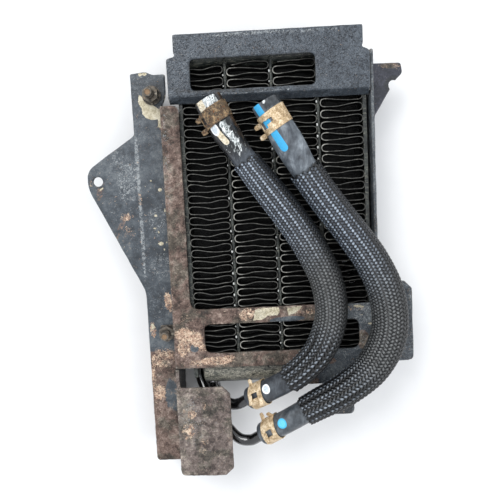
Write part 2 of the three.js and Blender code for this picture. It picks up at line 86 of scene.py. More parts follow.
# ---- routes of the hoses and pipes ----------------------------------------------------------------
HOSE_WHITE_ROUTE = [
    (-24.1, -131.2, 39.7), (-10.5, -123, 46.8), (9.2, -110.5, 52.3), (25.2, -93.8, 52.4), (33, -71.5, 52.3),
    (30.8, -48, 52.3), (21.4, -26.3, 52.4), (9.2, -6, 53.5), (-4.6, 13.2, 55.3), (-18.3, 32.4, 57.5),
    (-31, 52.2, 59.5), (-41.4, 72.8, 60),
]
HOSE_BLUE_ROUTE = [
    (-16, -157.5, 39.5), (-1.8, -147.3, 46.4), (19.6, -134.1, 51.4), (41.5, -122.3, 52.4),
    (60.6, -106.6, 52.4), (71.2, -84.2, 52.3), (70.4, -59.6, 52.3), (61.2, -36.6, 52.4), (47.3, -15.5, 53.2),
    (32.6, 4.8, 54.8), (18.7, 25.8, 57.2), (6.6, 47.6, 59.3), (-5.4, 69.4, 60),
]
PIPE_LOWER_ROUTE = [
    (-50.5, -114, 27), (-50.5, -122, 27), (-48, -130, 28.5), (-42.3, -135.8, 31.5), (-37, -137.6, 33),
    (-32.2, -136.3, 35.3), (-28.3, -133.8, 37.3), (-24.1, -131.2, 39.7), (-19.4, -128.5, 42.3),
]
PIPE_UPPER_ROUTE = [
    (-45, 108, 21), (-46, 107, 14), (-51, 101, 10), (-59, 88, 9.5), (-63.5, 70, 9.5), (-63.5, -85, 9.5),
    (-64, -106, 10), (-62, -122, 13), (-53, -141, 22), (-41, -157, 30.5), (-33, -163.5, 33.3),
    (-25.3, -163.8, 35), (-20.3, -160.7, 37.3), (-16, -157.5, 39.5), (-11.6, -154.2, 41.9),
]
SPAN_STEPS = 40
TANGENT_REACH = 0.8


class Route:
    """The centripetal Catmull-Rom curve through some points, measured along its length in millimetres."""

    def __init__(self, points):
        ends = [np.array(p, float) for p in points]
        ends = [2 * ends[0] - ends[1], *ends, 2 * ends[-1] - ends[-2]]
        line = []
        for a, b, c, d in zip(ends, ends[1:], ends[2:], ends[3:]):
            line += self.span(a, b, c, d)
        self.line = np.array([*line, ends[-2]])
        self.marks = np.r_[0, np.cumsum(np.linalg.norm(np.diff(self.line, axis=0), axis=1))]
        self.length = self.marks[-1]

    @staticmethod
    def span(a, b, c, d):
        before, along, after = (np.linalg.norm(q - p) ** 0.5 for p, q in ((a, b), (b, c), (c, d)))
        leave = ((b - a) / before - (c - a) / (before + along) + (c - b) / along) * along
        arrive = ((c - b) / along - (d - b) / (along + after) + (d - c) / after) * along
        shares = [k / SPAN_STEPS for k in range(SPAN_STEPS)]
        return [
            b * (2 * t**3 - 3 * t**2 + 1) + leave * (t**3 - 2 * t**2 + t)
            + c * (3 * t**2 - 2 * t**3) + arrive * (t**3 - t**2)
            for t in shares
        ]

    def points(self, stations):
        """Centre points at the given distances along the route; past an end they go straight on."""
        stations = np.asarray(stations, float)
        inside = np.clip(stations, 0, self.length)
        centre = np.stack([np.interp(inside, self.marks, self.line[:, k]) for k in range(3)], -1)
        return centre + self.tangents(inside) * (stations - inside)[..., None]

    def tangents(self, stations):
        low = np.clip(stations - TANGENT_REACH, 0, self.length)
        high = np.clip(stations + TANGENT_REACH, 0, self.length)
        step = np.stack(
            [np.interp(high, self.marks, self.line[:, k]) - np.interp(low, self.marks, self.line[:, k])
             for k in range(3)], -1)
        return step / np.linalg.norm(step, axis=-1, keepdims=True)

    def skin(self, stations, angles, side_radius, front_radius=None):
        """Points round the route. Angle 0 is the front, towards +Z, and 90 degrees the side to the
        right of the way the route runs. The arrays broadcast together."""
        front_radius = side_radius if front_radius is None else front_radius
        stations, angles = np.broadcast_arrays(np.asarray(stations, float), np.asarray(angles, float))
        tangent = self.tangents(np.clip(stations, 0, self.length))
        front = np.array([0, 0, 1.0]) - tangent[..., 2:] * tangent
        front /= np.linalg.norm(front, axis=-1, keepdims=True)
        side = np.cross(tangent, front)
        around = np.cos(angles) * front_radius, np.sin(angles) * side_radius
        return self.points(stations) + around[0][..., None] * front + around[1][..., None] * side


# ---- mesh helpers -----------------------------------------------------------------------------------
def add_piece(name, vertices, faces, material, nodes=()):
    """A piece of the cooler from vertices in millimetres from the middle of the core."""
    points = (np.asarray(vertices, float).reshape(-1, 3) + (CORE_X, CORE_Y, 0)) * MM
    mesh = bpy.data.meshes.new(name)
    mesh.from_pydata(points.tolist(), [], faces)
    mesh.validate()
    mesh.shade_smooth()
    piece = bpy.data.objects.new(name, mesh)
    bpy.context.scene.collection.objects.link(piece)
    mesh.materials.append(material)
    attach(piece, "root")
    if nodes:
        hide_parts(*nodes)
    return piece


def grid_faces(rows, columns, wrap_rows=False, wrap_columns=True, start=0):
    """Quads over a grid of vertices, wrapped round in either direction."""
    faces = []
    for i in range(rows if wrap_rows else rows - 1):
        for j in range(columns if wrap_columns else columns - 1):
            a, b = i * columns + j, i * columns + (j + 1) % columns
            c, d = (i + 1) % rows * columns + (j + 1) % columns, (i + 1) % rows * columns + j
            faces.append((start + a, start + b, start + c, start + d))
    return faces


def loft(rings, wrap=False, start=0):
    """Vertices and faces of a closed skin over rings of points; the ends are capped unless it wraps."""
    rings = np.asarray(rings, float)
    rows, columns = rings.shape[:2]
    faces = grid_faces(rows, columns, wrap_rows=wrap, start=start)
    if not wrap:
        faces.append(tuple(start + j for j in reversed(range(columns))))
        faces.append(tuple(start + (rows - 1) * columns + j for j in range(columns)))
    return rings.reshape(-1, 3), faces


class Heap:
    """Several closed skins collected into one mesh."""

    def __init__(self):
        self.vertices, self.faces, self.count = [], [], 0

    def add(self, rings, wrap=False):
        vertices, faces = loft(rings, wrap, self.count)
        self.vertices.append(vertices)
        self.faces += faces
        self.count += len(vertices)

    def piece(self, name, material, slot, nodes=()):
        return add_piece(name, np.concatenate(self.vertices), self.faces, material, nodes)


def face_outwards(piece):
    """Turns every face of a closed piece outwards."""
    work = bmesh.new()
    work.from_mesh(piece.data)
    bmesh.ops.recalc_face_normals(work, faces=work.faces)
    work.to_mesh(piece.data)
    work.free()


def keep_modifiers(piece):
    """Makes the modifiers' result the piece's own mesh."""
    mesh = bpy.data.meshes.new_from_object(piece.evaluated_get(bpy.context.evaluated_depsgraph_get()))
    piece.modifiers.clear()
    piece.data = mesh


def drop_loose(work):
    """Deletes the vertices that no face uses."""
    bmesh.ops.delete(work, geom=[v for v in work.verts if not v.link_faces], context="VERTS")


def write_mask(piece, name, values):
    """Stores a number per vertex, for a material to read."""
    piece.data.attributes.new(name, "FLOAT", "POINT").data.foreach_set("value", values)


def paint_mask(piece, name, value):
    """Stores a number per vertex, from the vertex's place in millimetres from the middle of the core."""
    write_mask(piece, name, [value(*from_core(vertex.co)) for vertex in piece.data.vertices])


# ---- material helpers -------------------------------------------------------------------------------
def shade_of(red, green, blue):
    """A colour given as display values from 0 to 255, as linear light."""
    def linear(value):
        value /= 255
        return value / 12.92 if value <= 0.04045 else ((value + 0.055) / 1.055) ** 2.4
    return linear(red), linear(green), linear(blue), 1


class Finish:
    """A material in the making. Each method adds a node and returns the socket with its result."""

    def __init__(self, name, metallic=0.0, specular=0.5, coat=0.0):
        self.material = bpy.data.materials.new(name)
        self.material.use_nodes = True
        self.tree = self.material.node_tree
        self.shader = self.tree.nodes["Principled BSDF"]
        sockets = {"Metallic": metallic, "Specular IOR Level": specular, "Coat Weight": coat}
        for socket, value in sockets.items():
            self.shader.inputs[socket].default_value = value
        self.place = self.tree.nodes.new("ShaderNodeTexCoord").outputs["Object"]

    def node(self, kind, inputs=(), **settings):
        node = self.tree.nodes.new(kind)
        for key, value in settings.items():
            setattr(node, key, value)
        for socket, value in inputs:
            self.feed(node.inputs[socket], value)
        return node

    def feed(self, socket, value):
        if isinstance(value, bpy.types.NodeSocket):
            self.tree.links.new(value, socket)
        else:
            socket.default_value = value

    def stretched(self, scale, turn=0.0):
        """The place of a point, turned about Z and scaled, for grain that runs one way."""
        inputs = [("Vector", self.place), ("Rotation", (0, 0, math.radians(turn))), ("Scale", scale)]
        return self.node("ShaderNodeMapping", inputs).outputs[0]

    def noise(self, size, detail=5.0, roughness=0.6, distortion=0.0, place=None):
        """Cloudy noise whose main features are about size millimetres across, from 0 to 1."""
        inputs = [("Vector", place or self.place), ("Scale", 1 / (size * MM)), ("Detail", detail),
                  ("Roughness", roughness), ("Distortion", distortion)]
        return self.node("ShaderNodeTexNoise", inputs).outputs[0]

    def cells(self, size):
        """Distance to scattered points about size millimetres apart."""
        inputs = [("Vector", self.place), ("Scale", 1 / (size * MM))]
        return self.node("ShaderNodeTexVoronoi", inputs).outputs[0]

    def height(self):
        """Z of the point in millimetres."""
        z = self.node("ShaderNodeSeparateXYZ", [(0, self.place)]).outputs[2]
        return self.times(z, 1 / MM)

    def attribute(self, name):
        return self.node("ShaderNodeAttribute", attribute_name=name).outputs["Fac"]

    def edges(self):
        """How sharply the surface bulges: 0.5 on a flat face, more along an edge."""
        return self.node("ShaderNodeNewGeometry").outputs["Pointiness"]

    def math(self, operation, a, b):
        return self.node("ShaderNodeMath", [(0, a), (1, b)], operation=operation).outputs[0]

    def plus(self, a, b):
        return self.math("ADD", a, b)

    def minus(self, a, b):
        return self.math("SUBTRACT", a, b)

    def times(self, a, b):
        return self.math("MULTIPLY", a, b)

    def mix_of(self, *shares):
        """The sum of (weight, value) pairs."""
        first, *others = [self.times(value, weight) for weight, value in shares]
        for part in others:
            first = self.plus(first, part)
        return first

    def step(self, value, low, high):
        """A smooth step from 0 to 1 as value goes from low to high."""
        inputs = [("Value", value), ("From Min", low), ("From Max", high)]
        return self.node("ShaderNodeMapRange", inputs, interpolation_type="SMOOTHSTEP").outputs[0]

    def torn(self, mask, grain, swing, low, high):
        """Where a vertex mask reaches, with an edge that a grain shifts by up to half the swing."""
        shift = self.times(self.minus(grain, 0.5), swing)
        return self.step(self.plus(self.attribute(mask), shift), low, high)

    def map(self, value, low, high):
        """Takes a 0-to-1 value to the range from low to high."""
        inputs = [("Value", value), ("To Min", low), ("To Max", high)]
        return self.node("ShaderNodeMapRange", inputs).outputs[0]

    def blend(self, share, a, b):
        return self.node("ShaderNodeMix", [(0, share), (6, a), (7, b)], data_type="RGBA").outputs[2]

    def lerp(self, share, a, b):
        return self.node("ShaderNodeMix", [(0, share), (2, a), (3, b)], data_type="FLOAT").outputs[0]

    def ramp(self, value, *stops):
        """Colours along a value, from (place, colour) stops."""
        node = self.node("ShaderNodeValToRGB", [(0, value)])
        band = node.color_ramp
        while len(band.elements) < len(stops):
            band.elements.new(0.5)
        for element, (place, colour) in zip(band.elements, stops):
            element.position = place
            element.color = shade_of(*colour)
        return node.outputs[0]

    def tint(self, share, colour, grain, *stops):
        """Lays the colours of a ramp along a grain over a colour."""
        return self.blend(share, colour, self.ramp(grain, *stops))

    def bump(self, height, depth):
        """Relief whose full height is depth millimetres."""
        inputs = [("Height", height), ("Distance", depth * MM), ("Strength", 1.0)]
        return self.node("ShaderNodeBump", inputs).outputs[0]

    def done(self, colour, roughness, normal=None):
        self.feed(self.shader.inputs["Base Color"], colour)
        self.feed(self.shader.inputs["Roughness"], roughness)
        if normal is not None:
            self.feed(self.shader.inputs["Normal"], normal)
        return self.material


FIN_BACK, FIN_FRONT = 18.1, 36.0

# ---- materials --------------------------------------------------------------------------------------
RUST_BROWN = ((50, 38, 33), (92, 74, 66), (120, 101, 92), (166, 148, 136))
RUST_GREY = ((56, 48, 45), (96, 84, 79), (124, 112, 106), (172, 160, 148))
SLATES = ((42, 48, 54), (66, 73, 80), (98, 104, 108))
HOSE_TURN = -27  # which way the hoses' free ends run, in degrees from Y


def weathered(name, paints, rust_tones, gloss, blister, depth=0.32, pitted=0.0, cloudy=0.4):
    """Painted steel with rust, crusty scale, cream chips, pale scuffs and dark grime where the vertex
    masks rust, scale, chip, scuff and grime say, each with a ragged edge. The scuff mask also holds
    painted highlights and painted light, and the grime mask painted shade."""
    f = Finish(name)
    broad, middle = f.noise(18, 4), f.noise(4.5, 6, 0.7, 0.5)
    fine, grit = f.noise(1.3, 6, 0.7), f.noise(0.75, 3, 0.8)
    flake = f.mix_of((0.75, f.noise(3.0, 9, 0.8, 1.4)), (0.25, grit))
    ragged = f.minus(f.mix_of((0.9, middle), (0.35, fine)), 0.625)
    rust = f.step(f.plus(f.attribute("rust"), ragged), 0.44, 0.56)
    scale = f.torn("scale", flake, 3.4, 0.42, 0.6)
    chip = f.torn("chip", f.noise(2.2, 7, 0.7), 1.1, 0.47, 0.53)
    scuff_and_highlight = f.torn("scuff_and_highlight", f.noise(2.0, 8, 0.75, 1.4), 1.8, 0.42, 0.62)
    grime_and_shade = f.torn("grime_and_shade", fine, 1.6, 0.42, 0.58)
    pits = f.step(f.noise(1.2, 3, 0.7, 0.3, f.stretched((1.0, 1.4, 1.0), 30)), 0.44, 0.36)
    worn = f.step(f.plus(f.edges(), f.times(fine, 0.05)), 0.555, 0.6)

    paint = f.ramp(f.mix_of((cloudy, broad), (0.3, middle), (0.7 - cloudy, grit)),
                   *zip((0.41, 0.5, 0.59), paints))
    rust_grain = f.mix_of((0.25, broad), (0.35, middle), (0.2, fine), (0.2, grit))
    rust_colour = f.ramp(rust_grain, *zip((0.42, 0.475, 0.53, 0.59), rust_tones))
    olive = f.times(f.step(f.noise(11, 5, 0.65), 0.46, 0.6), 0.75)
    rust_colour = f.tint(olive, rust_colour, rust_grain,
                         (0.42, (44, 42, 36)), (0.5, (84, 80, 70)), (0.58, (136, 128, 116)))
    colour = f.blend(rust, paint, rust_colour)
    # Pale scuffs; where the masks put them, also painted highlights on bends and painted light against
    # shadow.
    colour = f.tint(f.times(scuff_and_highlight, 0.62), colour, grit, (0.3, (132, 138, 142)), (0.65, (196, 200, 200)))
    # Dark grime; where the masks put it, also painted shade on folds, bends and under the hoses.
    colour = f.tint(f.times(grime_and_shade, 0.85), colour, grit, (0.35, (14, 16, 18)), (0.62, (52, 55, 58)))
    colour = f.tint(scale, colour, f.mix_of((0.6, f.noise(2.4, 6, 0.75)), (0.4, grit)),
                    (0.4, (116, 86, 72)), (0.49, (188, 156, 134)), (0.59, (230, 210, 184)))
    colour = f.tint(chip, colour, f.mix_of((0.5, f.noise(3.5, 5)), (0.5, grit)),
                    (0.4, (160, 150, 124)), (0.5, (202, 193, 168)), (0.6, (220, 213, 193)))
    colour = f.blend(f.times(pits, pitted), colour, shade_of(16, 19, 23))
    colour = f.tint(f.times(worn, 0.5), colour, grit, (0.3, (110, 104, 98)), (0.7, (180, 176, 168)))

    roughness = f.lerp(rust, f.map(fine, gloss - 0.14, gloss + 0.14), 0.78)
    roughness = f.lerp(f.math("MAXIMUM", scale, chip), roughness, 0.85)
    lumps = f.times(f.minus(1.0, f.cells(blister)), f.noise(blister * 2.5, 3))
    crust = f.mix_of((0.6, fine), (0.5, f.noise(0.9, 6, 0.8)))
    relief = f.lerp(rust, f.mix_of((1.0, lumps), (0.35, fine)), crust)
    relief = f.plus(relief, f.times(scale, f.times(flake, 0.7)))
    relief = f.minus(relief, f.times(chip, 0.3))
    relief = f.minus(relief, f.times(pits, 0.5 * pitted))
    return f.done(colour, roughness, f.bump(relief, depth))


def fin_finish():
    """Oil-blackened fin metal, pale along its front edge, with painted shade where the mask dims it."""
    f = Finish("fin_metal")
    grime_and_shade, fine = f.noise(7, 5, 0.7), f.noise(0.9, 4)
    edge = f.step(f.plus(f.height(), f.times(fine, 0.5)), FIN_FRONT - 0.25, FIN_FRONT + 0.2)
    bare_edge_and_shade = f.times(f.times(edge, f.step(grime_and_shade, 0.2, 0.5)), f.attribute("bare_edge_and_shade"))
    colour = f.ramp(fine, (0.3, (4, 4, 4)), (0.7, (12, 13, 13)))
    colour = f.tint(bare_edge_and_shade, colour, f.noise(4, 6, 0.8),
                    (0.34, (96, 96, 92)), (0.52, (158, 157, 150)), (0.66, (222, 219, 206)))
    return f.done(colour, f.lerp(bare_edge_and_shade, 0.5, 0.42), f.bump(fine, 0.08))


def core_finish():
    """Black paint on tubes and tanks, filmed with oily dust and scratched through in places."""
    f = Finish("core_paint")
    cloud, fine = f.noise(9, 6, 0.65), f.noise(0.8, 5, 0.7)
    scratch = f.noise(1.2, 4, 0.6, 1.5, f.stretched((0.25, 1.6, 1.0), 25))
    dust = f.attribute("dust")
    colour = f.ramp(cloud, (0.36, (14, 16, 16)), (0.5, (34, 38, 37)), (0.64, (66, 70, 66)))
    scratched = f.times(f.step(f.plus(scratch, f.times(dust, 0.09)), 0.57, 0.62), 0.8)
    colour = f.tint(scratched, colour, fine, (0.3, (96, 98, 90)), (0.7, (150, 148, 132)))
    patchy = f.step(f.mix_of((0.65, f.noise(7, 6, 0.75, 1.0)), (0.35, scratch)), 0.44, 0.54)
    colour = f.tint(f.times(dust, patchy), colour, fine,
                    (0.32, (66, 66, 60)), (0.52, (128, 125, 114)), (0.7, (206, 200, 182)))
    return f.done(colour, f.map(cloud, 0.3, 0.6), f.bump(f.plus(cloud, f.times(fine, 0.4)), 0.2))


def bead_finish():
    """Bright brazing metal where the fins meet the tubes."""
    f = Finish("braze", metallic=0.3)
    fine = f.noise(0.6, 4)
    colour = f.ramp(fine, (0.3, (160, 162, 160)), (0.7, (236, 238, 234)))
    return f.done(colour, f.map(fine, 0.25, 0.5), f.bump(fine, 0.05))


def deep_shade_finish():
    """A near-black lumpy slab that paints the shade deep between the fins."""
    f = Finish("deep_shade_slab")
    lump = f.noise(1.6, 6, 0.7)
    colour = f.ramp(lump, (0.3, (2, 2, 2)), (0.7, (10, 9, 8)))
    return f.done(colour, f.map(lump, 0.55, 0.9), f.bump(lump, 0.6))


def pipe_finish():
    """Gloss black enamel with flow ripples and dust specks."""
    f = Finish("pipe_enamel", coat=1.0)
    f.shader.inputs["Coat Roughness"].default_value = 0.06
    ripple = f.noise(3.2, 4, 0.55)
    speck = f.step(f.noise(0.7, 5, 0.8), 0.68, 0.72)
    colour = f.ramp(ripple, (0.3, (6, 6, 7)), (0.7, (16, 16, 17)))
    colour = f.blend(f.times(speck, 0.6), colour, shade_of(120, 116, 108))
    return f.done(colour, f.lerp(speck, f.map(ripple, 0.12, 0.26), 0.6), f.bump(ripple, 0.35))


def rubber_finish(name, tones, mark, dot_rim, dot_middle):
    """Worn hose rubber with a painted mark and dot, and where the masks say a dark oily gloss, brown
    soil, a silvery film with painted highlight streaks, and cream paint."""
    f = Finish(name)
    cloud, fine = f.noise(8, 5, 0.6), f.noise(0.8, 5, 0.7)
    wipe, streak, gleam = (
        f.noise(size, detail, roughness, distortion, f.stretched((1.0, squeeze, 1.0), HOSE_TURN))
        for size, detail, roughness, distortion, squeeze in (
            (3.0, 5, 0.6, 0.8, 0.35), (2.6, 5, 0.6, 1.6, 0.4), (1.8, 4, 0.55, 1.8, 0.5))
    )
    oil = f.attribute("oil")
    soil = f.times(f.attribute("soil"), f.step(f.noise(4, 6, 0.7), 0.35, 0.6))
    film_and_highlight = f.torn("film_and_highlight", streak, 2.0, 0.4, 0.56)
    cream = f.torn("cream", fine, 0.8, -0.1, 0.1)
    painted = f.torn("mark", fine, 0.2, -0.12, 0.12)
    spotted = f.torn("dot", fine, 0.2, -0.12, 0.12)

    colour = f.ramp(f.mix_of((0.5, cloud), (0.5, wipe)), *zip((0.36, 0.5, 0.64), tones))
    colour = f.tint(f.times(oil, 0.92), colour, wipe, (0.4, (10, 11, 12)), (0.6, (34, 35, 36)))
    colour = f.tint(soil, colour, fine, (0.3, (58, 42, 34)), (0.7, (116, 92, 66)))
    # The film mask's silvery film, and its painted highlight streaks.
    colour = f.tint(film_and_highlight, colour, gleam,
                    (0.36, (58, 62, 62)), (0.48, (150, 156, 156)), (0.6, (240, 244, 244)))
    colour = f.tint(cream, colour, f.noise(1.2, 5, 0.7),
                    (0.34, (168, 150, 118)), (0.52, (224, 212, 186)), (0.66, (246, 242, 230)))
    colour = f.tint(painted, colour, fine, (0.3, tuple(0.88 * v for v in mark)), (0.7, mark))
    deep = f.step(f.attribute("dot"), 0.6, 1.1)
    dot = f.tint(deep, shade_of(*dot_rim), fine, (0.35, dot_middle), (0.8, dot_rim))
    colour = f.blend(spotted, colour, dot)

    roughness = f.lerp(oil, f.map(wipe, 0.34, 0.6), f.map(fine, 0.1, 0.3))
    roughness = f.lerp(f.math("MAXIMUM", painted, spotted), roughness, 0.55)
    roughness = f.lerp(film_and_highlight, roughness, 0.16)
    roughness = f.lerp(cream, roughness, 0.8)
    crease = f.noise(1.4, 5, 0.65, 1.5)
    relief = f.lerp(film_and_highlight, f.times(f.plus(wipe, f.times(fine, 0.3)), 0.3), crease)
    relief = f.plus(relief, f.times(cream, f.times(crease, 0.8)))
    return f.done(colour, roughness, f.bump(relief, 0.5))


def braid_finish():
    """Black filaments with painted glints on each strand's crest and painted shade at the sides; dusty
    further from the free end.
    """
    f = Finish("braid", specular=0.6)
    fine = f.noise(0.6, 3, 0.7)
    # The mask holds painted glints and painted shade, worked out from the strands' shape.
    glint_and_shade = f.times(f.attribute("glint_and_shade"), f.map(f.noise(2.2, 5, 0.75), 0.4, 1.6))
    glint_and_shade = f.plus(glint_and_shade, f.times(f.minus(fine, 0.5), 0.25))
    dusty = f.ramp(glint_and_shade, (0.14, (4, 4, 4)), (0.5, (17, 18, 18)), (0.78, (46, 47, 46)), (1.0, (98, 98, 95)))
    colour = f.tint(f.attribute("clean"), dusty, glint_and_shade,
                    (0.14, (3, 4, 5)), (0.5, (17, 20, 24)), (0.74, (60, 67, 77)), (0.98, (160, 172, 186)))
    return f.done(colour, f.map(fine, 0.26, 0.42), f.bump(fine, 0.06))


def clamp_finish(name, tones, rust_share):
    """Yellow-zinc spring steel with rust spots and rubbed edges."""
    f = Finish(name, metallic=0.25)
    cloud, fine = f.noise(3.5, 6, 0.7), f.noise(0.9, 6, 0.75)
    rust = f.plus(f.noise(2.2, 7, 0.75), f.times(fine, 0.2))
    rust = f.step(rust, 0.8 - rust_share, 0.88 - rust_share)
    worn = f.step(f.edges(), 0.54, 0.62)
    colour = f.ramp(f.mix_of((0.5, cloud), (0.5, fine)), *zip((0.42, 0.5, 0.59), tones))
    colour = f.tint(rust, colour, fine, (0.3, (70, 40, 24)), (0.7, (150, 92, 48)))
    colour = f.blend(f.times(worn, 0.6), colour, shade_of(226, 206, 168))
    return f.done(colour, f.lerp(rust, f.map(fine, 0.35, 0.6), 0.85), f.bump(f.plus(fine, rust), 0.15))


def fastener_finish():
    """A bolt's steel under grey-brown grime and rust."""
    f = Finish("fastener_steel", metallic=0.2)
    cloud, fine = f.noise(2.2, 6, 0.7), f.noise(0.6, 5, 0.7)
    worn = f.step(f.edges(), 0.53, 0.6)
    colour = f.ramp(cloud, (0.36, (34, 32, 30)), (0.48, (66, 62, 58)), (0.58, (100, 92, 82)),
                    (0.68, (136, 118, 98)))
    colour = f.blend(f.times(worn, 0.7), colour, shade_of(176, 166, 150))
    colour = f.tint(f.attribute("recess"), colour, fine, (0.3, (104, 82, 62)), (0.7, (160, 132, 102)))
    return f.done(colour, f.map(fine, 0.5, 0.8), f.bump(f.plus(cloud, fine), 0.2))


MATERIALS = {
    "cover": weathered("cover_paint", ((40, 46, 53), (62, 69, 77), (88, 96, 104)), RUST_GREY,
                       0.34, 0.9, depth=0.42, pitted=0.8, cloudy=0.12),
    "slate": weathered("slate_paint", SLATES, RUST_BROWN, 0.5, 2.0, depth=0.25, pitted=0.15),
    "lilac": weathered("lilac_paint", ((34, 37, 45), (50, 52, 62), (74, 75, 85)), RUST_GREY,
                       0.5, 1.4, depth=0.3, pitted=0.4),
    "frame": weathered("frame_rust", SLATES, RUST_BROWN, 0.5, 2.0, depth=0.45, pitted=0.45),
    "guard": weathered("guard_rust", SLATES, RUST_GREY, 0.55, 1.6, depth=0.45, pitted=0.4),
    "fin": fin_finish(),
    "core": core_finish(),
    "braze": bead_finish(),
    "deep_shade": deep_shade_finish(),
    "pipe": pipe_finish(),
    "rubber_white": rubber_finish("rubber_white", ((44, 48, 54), (70, 76, 84), (104, 111, 119)),
                                  mark=(214, 206, 182), dot_rim=(246, 248, 250), dot_middle=(176, 190, 200)),
    "rubber_blue": rubber_finish("rubber_blue", ((58, 63, 70), (98, 105, 112), (142, 150, 157)),
                                 mark=(64, 178, 232), dot_rim=(72, 182, 224), dot_middle=(110, 208, 242)),
    "braid": braid_finish(),
    "clamp": clamp_finish("clamp_zinc", ((146, 120, 88), (204, 178, 140), (242, 226, 198)), 0.05),
    "clamp_dark": clamp_finish("clamp_dirty", ((44, 36, 30), (92, 76, 58), (168, 140, 104)), 0.14),
    "fastener": fastener_finish(),
}

# ---- hoses ------------------------------------------------------------------------------------------
ROUND = np.linspace(0, 2 * math.pi, 64, endpoint=False)
BORE_RADIUS = 4.7
LIP_RADIUS = 0.8
CLOSE_STRETCH = 46  # this far from each end of a hose its rings lie half a millimetre apart
MIDDLE_RINGS = 70
LUMP_HEIGHT = 0.16
NO_PAINT = -3.0  # a depth far outside any painted mark
PIPE_END_RADIUS = 8
FREE_END_RADIUS = 9.3


def smooth(value, low, high):
    """A smooth step from 0 to 1 as value goes from low to high."""
    share = np.clip((value - low) / (high - low), 0, 1)
    return share * share * (3 - 2 * share)


def hose_radius(from_pipe, from_end, slim, swollen_over, flare, swell):
    """Outer radius: slim on the pipe, swollen towards the oil-soaked free end, with rounded lips."""
    radius = slim + (flare - slim) * smooth(-from_end, -swollen_over, -20)
    radius = radius + swell * (smooth(-from_end, -60, -30) - smooth(-from_end, -30, -14))
    lip = np.minimum(np.minimum(from_pipe, from_end), LIP_RADIUS)
    return radius - LIP_RADIUS + np.sqrt(np.maximum(LIP_RADIUS**2 - (LIP_RADIUS - lip) ** 2, 0))


def capsule(along, across, start, end, half_width):
    """How deep inside a painted stripe a point lies, in millimetres."""
    return half_width - np.hypot(along - np.clip(along, start, end), across)


def oval(along, across, place_along, place_across, half_along, half_across):
    """How deep inside a painted dot a point lies, in millimetres."""
    share = np.hypot((along - place_along) / half_along, (across - place_across) / half_across)
    return (1 - share) * min(half_along, half_across)


def add_hose(colour, points, shape, marks):
    """A hollow hose with rounded ends, lumpy where it has swollen, and its painted marks as masks."""
    route = Route(points)
    length = route.length
    close = np.arange(1, CLOSE_STRETCH + 0.25, 0.5)
    middle = np.linspace(CLOSE_STRETCH + 2, length - CLOSE_STRETCH - 2, MIDDLE_RINGS)
    stations = np.concatenate([[0, 0.15, 0.4], close, middle,
                               (length - close)[::-1], [length - 0.4, length - 0.15, length]])
    outer = hose_radius(stations, length - stations, *shape)[:, None] * np.ones(len(ROUND))
    grid_s, grid_a = np.meshgrid(stations, ROUND, indexing="ij")
    for i, j in np.ndindex(outer.shape):
        spot = Vector((stations[i] * 0.09, math.cos(ROUND[j]), math.sin(ROUND[j])))
        if 1 < stations[i] < length - 1:
            outer[i, j] += LUMP_HEIGHT * noise.noise(spot * 1.7)
    skin = route.skin(grid_s, grid_a, outer)
    bore = route.skin(grid_s, grid_a, np.full_like(outer, BORE_RADIUS))[::-1]
    vertices, faces = loft(np.concatenate([skin, bore]), wrap=True)
    hose = add_piece(f"hose_{colour}_rubber", vertices, faces, MATERIALS[f"rubber_{colour}"],
                     (f"hose_{colour}",))
    face_outwards(hose)
    angle = (grid_a + math.pi) % (2 * math.pi) - math.pi
    masks = marks(length - grid_s, grid_s, np.degrees(angle), outer)
    outside = {"mark": NO_PAINT, "dot": NO_PAINT, "cream": NO_PAINT, "film_and_highlight": 0.0, "soil": 0.0, "oil": 0.0}
    for mask, value in outside.items():
        empty = np.full_like(outer, value)
        write_mask(hose, mask, np.concatenate([masks.get(mask, empty), empty]).ravel())


def white_marks(from_end, from_pipe, angle, radius):
    """Dots, dried cream paint, and the silvery film with painted highlight streaks on the hose with white
    dots.
    """
    arc = np.radians(angle) * radius
    degree = math.radians(1) * FREE_END_RADIUS
    dot = np.maximum(oval(from_end, arc, 19.5, -34 * degree, 4.0, 2.9),
                     oval(from_pipe, arc, 19.0, math.radians(-28) * PIPE_END_RADIUS, 2.8, 3.4))
    cream = np.maximum(capsule(from_end, arc + 36 * degree, 0, 5.5, 2.6),
                       capsule(from_end, arc + (30 - (from_end - 20)) * degree, 21, 29, 2.1))
    # At the tip, the silvery foil; the next two terms are painted highlight streaks along the glossy hose.
    film_and_highlight = (smooth(from_end, -1, 1) - smooth(from_end, 5, 8)) * smooth(-np.abs(angle + 8), -58, -30)
    film_and_highlight = np.maximum(film_and_highlight, 0.8 * smooth(from_end, 16, 19) * (1 - smooth(from_end, 26, 50))
                      * smooth(-np.abs(angle - 6 - 0.6 * (from_end - 18)), -26, -6))
    film_and_highlight = np.maximum(film_and_highlight, 0.23 * smooth(from_end, 17, 20) * (1 - smooth(from_end, 42, 48))
                      * smooth(-np.abs(angle), -62, -40))
    soil = smooth(angle, 40, 75) * (1 - smooth(from_end, 20, 34))
    oil = np.maximum(1 - smooth(from_end, 34, 48), 0.5 * (1 - smooth(from_pipe, 34, 50)))
    return {"dot": dot, "cream": cream, "film_and_highlight": film_and_highlight, "soil": soil, "oil": oil}


